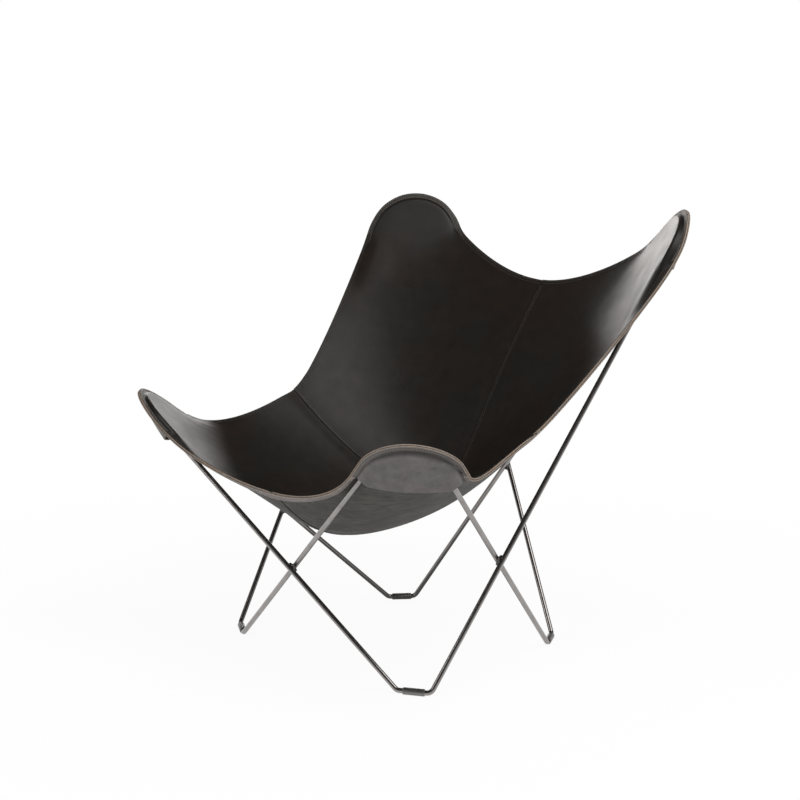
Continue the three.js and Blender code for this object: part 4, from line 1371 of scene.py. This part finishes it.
def dark_steel(name, base, gloss, streak_mm, shine_change):
    tree, place = new_material(name)
    streaks = {"Vector": place, "Scale": per_metre(streak_mm), "Detail": 4.0, "Roughness": 0.6}
    streaks = add_node(tree, "MapRange", {0: add_node(tree, "TexNoise", streaks), 1: 0.3, 2: 0.7})
    dark, light = shade(base, 0.85), shade(base, 1.12)
    tone = add_node(tree, "Mix", {0: streaks, 6: dark, 7: light}, 2, data_type="RGBA")
    roughness = add_node(tree, "MapRange", {0: streaks, 3: gloss, 4: gloss + shine_change})
    steel = {"Base Color": tone, "Metallic": 1.0, "Roughness": roughness}
    add_node(tree, "OutputMaterial", {"Surface": add_node(tree, "BsdfPrincipled", steel)}, None)


def studio_floor(settings):
    # Matt paint under soft light: white to the eye, with a trace of the chair's shadow
    tree, place = new_material(FLOOR)
    base = settings.floor_colour
    mottle = add_node(tree, "TexNoise", {"Vector": place, "Scale": per_metre(400), "Detail": 2.0})
    tone = add_node(tree, "Mix", {0: mottle, 6: shade(base, 0.99), 7: shade(base)}, 2, data_type="RGBA")
    paint = {"Base Color": tone, "Roughness": 0.9, "Specular IOR Level": 0.0}
    paint = add_node(tree, "BsdfPrincipled", paint)
    path = add_node(tree, "LightPath", out="Is Camera Ray").node.outputs
    # In gloss, the floor greys on the camera's side, where the room is dark
    facing = add_node(tree, "VectorMath", {0: place, 1: BACKDROP_WAY}, "Value", operation="DOT_PRODUCT")
    paper = add_node(tree, "MapRange", {0: facing, 1: -1.5, 2: -0.5, 3: 0.25, 4: 1.0})
    # In gloss, the floor under the sling lies in its shade
    inward = add_node(tree, "VectorMath", {0: place, 1: SHADE_PLACE}, "Value", operation="DISTANCE")
    open_floor = add_node(tree, "MapRange", {0: inward, 1: 0.24, 2: 0.38, 3: 0.2, 4: 1.0})
    paper = add_node(tree, "Math", {0: paper, 1: open_floor}, operation="MULTIPLY")
    strength = add_node(tree, "Mix", {0: path["Is Glossy Ray"], 2: 1.0, 3: paper}, data_type="FLOAT")
    white = add_node(tree, "Emission", {"Color": (1, 1, 1, 1), "Strength": strength})
    seen = add_node(tree, "Math", {0: path["Is Camera Ray"], 1: path["Is Glossy Ray"]}, operation="MAXIMUM")
    seen = add_node(tree, "Math", {0: seen, 1: path["Is Transmission Ray"]}, operation="MAXIMUM")
    # The floor's far part runs into the backdrop without a line
    reach = add_node(tree, "VectorMath", {0: place}, "Value", operation="LENGTH")
    whiteness = add_node(tree, "MapRange", {0: reach, 1: 0.8, 2: 1.8, 3: 0.93, 4: 1.0})
    share = add_node(tree, "Math", {0: seen, 1: whiteness}, operation="MULTIPLY")
    mixed = add_node(tree, "MixShader", {0: share, 1: paint, 2: white})
    add_node(tree, "OutputMaterial", {"Surface": mixed}, None)


# Operators


class ChairMaterials(bpy.types.Operator):
    """Make the leathers, the thread and the steels"""

    bl_idname = "chair.materials"
    bl_label = "Materials"

    def execute(self, context):
        leather, frame = context.scene.chair_leather, context.scene.chair_frame
        for make in (grain_leather, flesh_leather, raw_edge):
            make(leather)
        # The tips' thread is painted lighter than the seams', as a painted highlight for the light that their stitches
        # catch
        waxed_thread(THREAD, leather.thread_colour)
        waxed_thread(SEAM_THREAD, leather.seam_thread_colour)
        # Rolled smooth and dyed: the eye sees mid grey with a dull shine and mottling
        split_leather(POCKET, leather.pocket_colour)
        # The same split, folded under the edge and painted lighter than the pockets, as a painted reflection of the
        # white floor
        split_leather(STRIP, leather.strip_colour)
        # Oiled black oxide on drawn rod: the eye sees dark mirror streaks
        dark_steel(STEEL, frame.rod_colour, 0.17, 30, 0.06)
        # A turned tube: duller and a little darker than the rods
        dark_steel(SLEEVE, frame.sleeve_colour, 0.36, 12, 0.14)
        # Ground weld metal: darker than the rod, dull and uneven
        dark_steel(WELD, np.array(frame.rod_colour) * 0.4, 0.42, 6, 0.2)
        return {"FINISHED"}


class ChairRods(bpy.types.Operator):
    """Bend the four rods of the frame"""

    bl_idname = "chair.rods"
    bl_label = "Rods"

    def execute(self, context):
        settings = context.scene.chair_frame
        names = (("back_left", "front_right"), ("back_right", "front_left"))
        for loop, (high_name, low_name) in zip(loops(), names):
            fronts = (loop["high_front"] + loop["low_front"]) / 2
            backs = (loop["high_back"] + loop["low_back"]) / 2
            hairpins = (
                (high_name, "high_front", "high_apex", "high_back", HIGH_RADIUS),
                (low_name, "low_front", "low_apex", "low_back", LOW_RADIUS),
            )
            for name, front, apex, back, radius in hairpins:
                corners = [fronts, loop[front], loop[apex], loop[back], backs]
                rod = make_rod(name, corners, [FOOT_BEND, radius, FOOT_BEND], settings)
                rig.slot(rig.replaces(rod, "frame_rod_" + name), "gloss_black_steel")
        return {"FINISHED"}


class ChairSleeves(bpy.types.Operator):
    """Turn the sleeves in the feet, and finish the welds"""

    bl_idname = "chair.sleeves"
    bl_label = "Sleeves and welds"

    def execute(self, context):
        settings = context.scene.chair_frame
        names = (("front_left", "back_right"), ("front_right", "back_left"))
        for loop, (front, back) in zip(loops(), names):
            made = make_sleeve(front, loop["low_front"], loop["high_front"], settings)
            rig.slot(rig.replaces(made, "foot_sleeve_" + front), "sleeve_black_steel")
            made = make_sleeve(back, loop["high_back"], loop["low_back"], settings)
            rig.slot(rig.replaces(made, "foot_sleeve_" + back), "sleeve_black_steel")
        for side in ("front", "back", "left", "right"):
            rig.slot(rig.replaces(make_weld(side), "weld_" + side), "weld_black_steel")
        return {"FINISHED"}


class ChairPanels(bpy.types.Operator):
    """Cut and hang the four panels of the sling"""

    bl_idname = "chair.panels"
    bl_label = "Panels"

    def execute(self, context):
        for quarter, name in enumerate(CORNERS):
            panel = make_panel(quarter, name, context.scene.chair_leather)
            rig.slot(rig.replaces(panel, "leather_panel_" + name), "saddle_leather")
        return {"FINISHED"}


class ChairPockets(bpy.types.Operator):
    """Sew the pockets under the tips"""

    bl_idname = "chair.pockets"
    bl_label = "Pockets"

    def execute(self, context):
        for quarter, name in enumerate(CORNERS):
            pocket = make_pocket(quarter, name, context.scene.chair_leather)
            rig.slot(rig.replaces(pocket, "tip_pocket_" + name), "pocket_leather")
        return {"FINISHED"}


class ChairStrips(bpy.types.Operator):
    """Sew the strips under the free edges"""

    bl_idname = "chair.strips"
    bl_label = "Edge strips"

    def execute(self, context):
        for name in STRIPS:
            strip = make_strip(name, context.scene.chair_leather)
            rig.slot(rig.replaces(strip, "edge_strip_" + name), "strip_leather")
        return {"FINISHED"}


class ChairStitches(bpy.types.Operator):
    """Sew the stitches of the tips, the edges and the seams"""

    bl_idname = "chair.stitches"
    bl_label = "Stitches"

    def execute(self, context):
        settings = context.scene.chair_leather
        thick = settings.panel_thickness / MM
        pocket = settings.pocket_thickness / MM
        strip = settings.strip_thickness / MM
        for quarter, name in enumerate(CORNERS):
            first, last, total = sling().pockets[quarter]
            top, under = panel_surface(quarter, settings), pocket_surface(name, settings)
            rows, backs, seams = [], [], []
            for inset in EDGE_ROWS:
                rows.append(outline_row(top, quarter, first, last, inset, thick / 2, settings))
                backs.append(outline_row(under, quarter, first, last, inset, -pocket / 2, settings))
                for start, end in ((0, first), (last, total)):
                    seams.append(outline_row(top, quarter, start, end, inset, thick / 2, settings))
            seams += seam_rows(quarter, top, (thick - SEAM_SKIVE) / 2, settings)
            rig.slot(make_stitches("tip_" + name, rows, THREAD), "saddle_leather")
            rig.slot(make_stitches("pocket_" + name, backs, SEAM_THREAD), "pocket_leather")
            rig.slot(make_stitches("seam_" + name, seams, SEAM_THREAD), "saddle_leather")
        for name in STRIPS:
            surface = strip_surface(settings)
            column = np.linspace(*strip_lengths(name), STRIP_ROW_STEPS)[STRIP_ROW_END:-STRIP_ROW_END]
            rows = [
                stitch_row(surface, sling().inset(column, inset), -strip / 2, settings) for inset in EDGE_ROWS
            ]
            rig.slot(make_stitches("strip_" + name, rows, SEAM_THREAD), "strip_leather")
        return {"FINISHED"}


class ChairStage(bpy.types.Operator):
    """Set up the floor, the lamps, the world and the camera"""

    bl_idname = "chair.stage"
    bl_label = "Stage"

    def execute(self, context):
        scene = context.scene
        studio_floor(scene.chair_stage)
        make_floor()
        make_world(scene)
        for lamp in LAMPS:
            make_lamp(*lamp)
        make_camera(scene)
        scene.view_settings.view_transform = "Standard"
        return {"FINISHED"}


# Linear colours of the lamps
WHITE = (1.0, 1.0, 1.0)
WARM = (1.0, 0.955, 0.925)
# Each lamp's name, place, width and height, power in watts and colour. All of them look at one place
LAMPS = (
    ("Key softbox", (1.9, 0.35, 2.6), (2.0, 2.0), 42.0, WHITE),
    ("Top softbox", (0.72, -0.3, 3.2), (0.9, 0.9), 12.0, WHITE),
    ("Fill softbox", (-0.9, -2.9, 1.3), (1.0, 1.6), 16.0, WHITE),
    ("Back strip", (-2.25, 1.9, 1.15), (2.3, 0.78), 8.3, WARM),
    ("Far softbox", (-3.5, 2.45, 1.8), (1.2, 0.8), 9.0, WARM),
)
AIM = (0.0, 0.0, 0.45)
FLOOR_RADIUS = 14
FLOOR_SIDES = 64


def make_lamp(name, place, size, power, colour):
    light = bpy.data.lights.new(name, "AREA")
    light.shape = "RECTANGLE"
    light.size, light.size_y = size
    light.energy = power
    light.color = colour
    lamp = bpy.data.objects.new(name, light)
    back = unit(np.array(place) - AIM)
    right = unit(np.cross([0, 0, 1.0], back))
    axes = Matrix((right, np.cross(back, right), back)).transposed()
    lamp.matrix_world = Matrix.Translation(place) @ axes.to_4x4()
    bpy.context.scene.collection.objects.link(lamp)


def make_floor():
    mesh = bpy.data.meshes.new("floor")
    angle = circle(FLOOR_SIDES)
    ring = np.stack([FLOOR_RADIUS * np.cos(angle), FLOOR_RADIUS * np.sin(angle), 0 * angle], 1)
    mesh.from_pydata(ring, [], [list(range(FLOOR_SIDES))])
    mesh.materials.append(bpy.data.materials[FLOOR])
    floor = bpy.data.objects.new("floor", mesh)
    bpy.context.scene.collection.objects.link(floor)
    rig.stage(floor)


def make_world(scene):
    """White behind the chair for the eye. In gloss, a white backdrop that ends low, in a dark room."""
    world = bpy.data.worlds.new("Studio")
    scene.world = world
    world.use_nodes = True
    tree = world.node_tree
    tree.nodes.clear()
    path = add_node(tree, "LightPath", out="Is Camera Ray").node.outputs
    seen = {0: path["Is Camera Ray"], 1: path["Is Transmission Ray"]}
    seen = add_node(tree, "Math", seen, operation="MAXIMUM")
    way = add_node(tree, "TexCoord", out="Generated")
    height = add_node(tree, "SeparateXYZ", {0: way}, out="Z")
    facing = add_node(tree, "VectorMath", {0: way, 1: BACKDROP_WAY}, out="Value", operation="DOT_PRODUCT")
    low = {0: height, 1: 0.16, 2: 0.42, 3: 1.0, 4: 0.0}
    low = add_node(tree, "MapRange", low, interpolation_type="SMOOTHSTEP")
    behind = add_node(tree, "MapRange", {0: facing, 1: -0.2, 2: 0.75, 3: 0.2, 4: 0.95})
    sky = add_node(tree, "Math", {0: low, 1: behind, 2: 0.06}, operation="MULTIPLY_ADD")
    gloss = add_node(tree, "Mix", {0: path["Is Glossy Ray"], 2: 0.55, 3: sky}, data_type="FLOAT")
    light = add_node(tree, "Mix", {0: seen, 2: gloss, 3: 1.0}, data_type="FLOAT")
    background = add_node(tree, "Background", {"Color": (1, 1, 1, 1), "Strength": light})
    add_node(tree, "OutputWorld", {"Surface": background}, out=None)


# The camera's place and turns, its focal length and middle in pixels of the photograph, and its sensor
EYE = (2.60595, -2.48513, 1.12616)
YAW, PITCH, ROLL = np.radians([46.45, 9.88, 0.47])
FOCUS_PX = 1730.18
CENTRE_PX = (408.1, 410.04)
PICTURE_PX = 800
SENSOR_MM = 36
FAR_END = 60


def make_camera(scene):
    """The photograph's point of view, worked out from the frame's lines."""
    forward = np.array([-np.sin(YAW) * np.cos(PITCH), np.cos(YAW) * np.cos(PITCH), -np.sin(PITCH)])
    right = np.array([np.cos(YAW), np.sin(YAW), 0])
    up = np.cross(right, forward)
    right, up = right * np.cos(ROLL) + up * np.sin(ROLL), up * np.cos(ROLL) - right * np.sin(ROLL)
    camera = bpy.data.cameras.new("Camera")
    camera.sensor_width = SENSOR_MM
    camera.lens = FOCUS_PX * SENSOR_MM / PICTURE_PX
    camera.shift_x = (PICTURE_PX / 2 - CENTRE_PX[0]) / PICTURE_PX
    camera.shift_y = (CENTRE_PX[1] - PICTURE_PX / 2) / PICTURE_PX
    camera.clip_end = FAR_END
    eye = bpy.data.objects.new("Camera", camera)
    eye.matrix_world = Matrix.Translation(EYE) @ Matrix((right, up, -forward)).transposed().to_4x4()
    scene.collection.objects.link(eye)
    scene.camera = eye


OPERATORS = (
    ChairMaterials,
    ChairRods,
    ChairSleeves,
    ChairPanels,
    ChairPockets,
    ChairStrips,
    ChairStitches,
    ChairStage,
)


class ChairPanel(bpy.types.Panel):
    bl_idname = "VIEW3D_PT_chair"
    bl_label = "Sling chair"
    bl_space_type = "VIEW_3D"
    bl_region_type = "UI"
    bl_category = "Chair"

    def draw(self, context):
        for group in ("chair_frame", "chair_leather", "chair_stage"):
            settings = getattr(context.scene, group)
            for name in settings.bl_rna.properties.keys():
                if name not in ("rna_type", "name"):
                    self.layout.prop(settings, name)
        for operator in OPERATORS:
            self.layout.operator(operator.bl_idname)


SETTINGS = {
    "chair_frame": ChairFrameSettings,
    "chair_leather": ChairLeatherSettings,
    "chair_stage": ChairStageSettings,
}


def register():
    for made in (*SETTINGS.values(), *OPERATORS, ChairPanel):
        bpy.utils.register_class(made)
    for name, settings in SETTINGS.items():
        setattr(bpy.types.Scene, name, bpy.props.PointerProperty(type=settings))


def unregister():
    for name in SETTINGS:
        delattr(bpy.types.Scene, name)
    for made in (ChairPanel, *reversed(OPERATORS), *reversed(SETTINGS.values())):
        bpy.utils.unregister_class(made)


def main():
    register()
    for operator in OPERATORS:
        group, name = operator.bl_idname.split(".")
        getattr(getattr(bpy.ops, group), name)()
    plain = lambda box: [[float(v) for v in corner] for corner in box]
    with open("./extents.json", "w") as file:
        json.dump({"cad": plain(CAD_BOX), "visual": plain(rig.bounds())}, file)


if __name__ == "__main__":
    main()
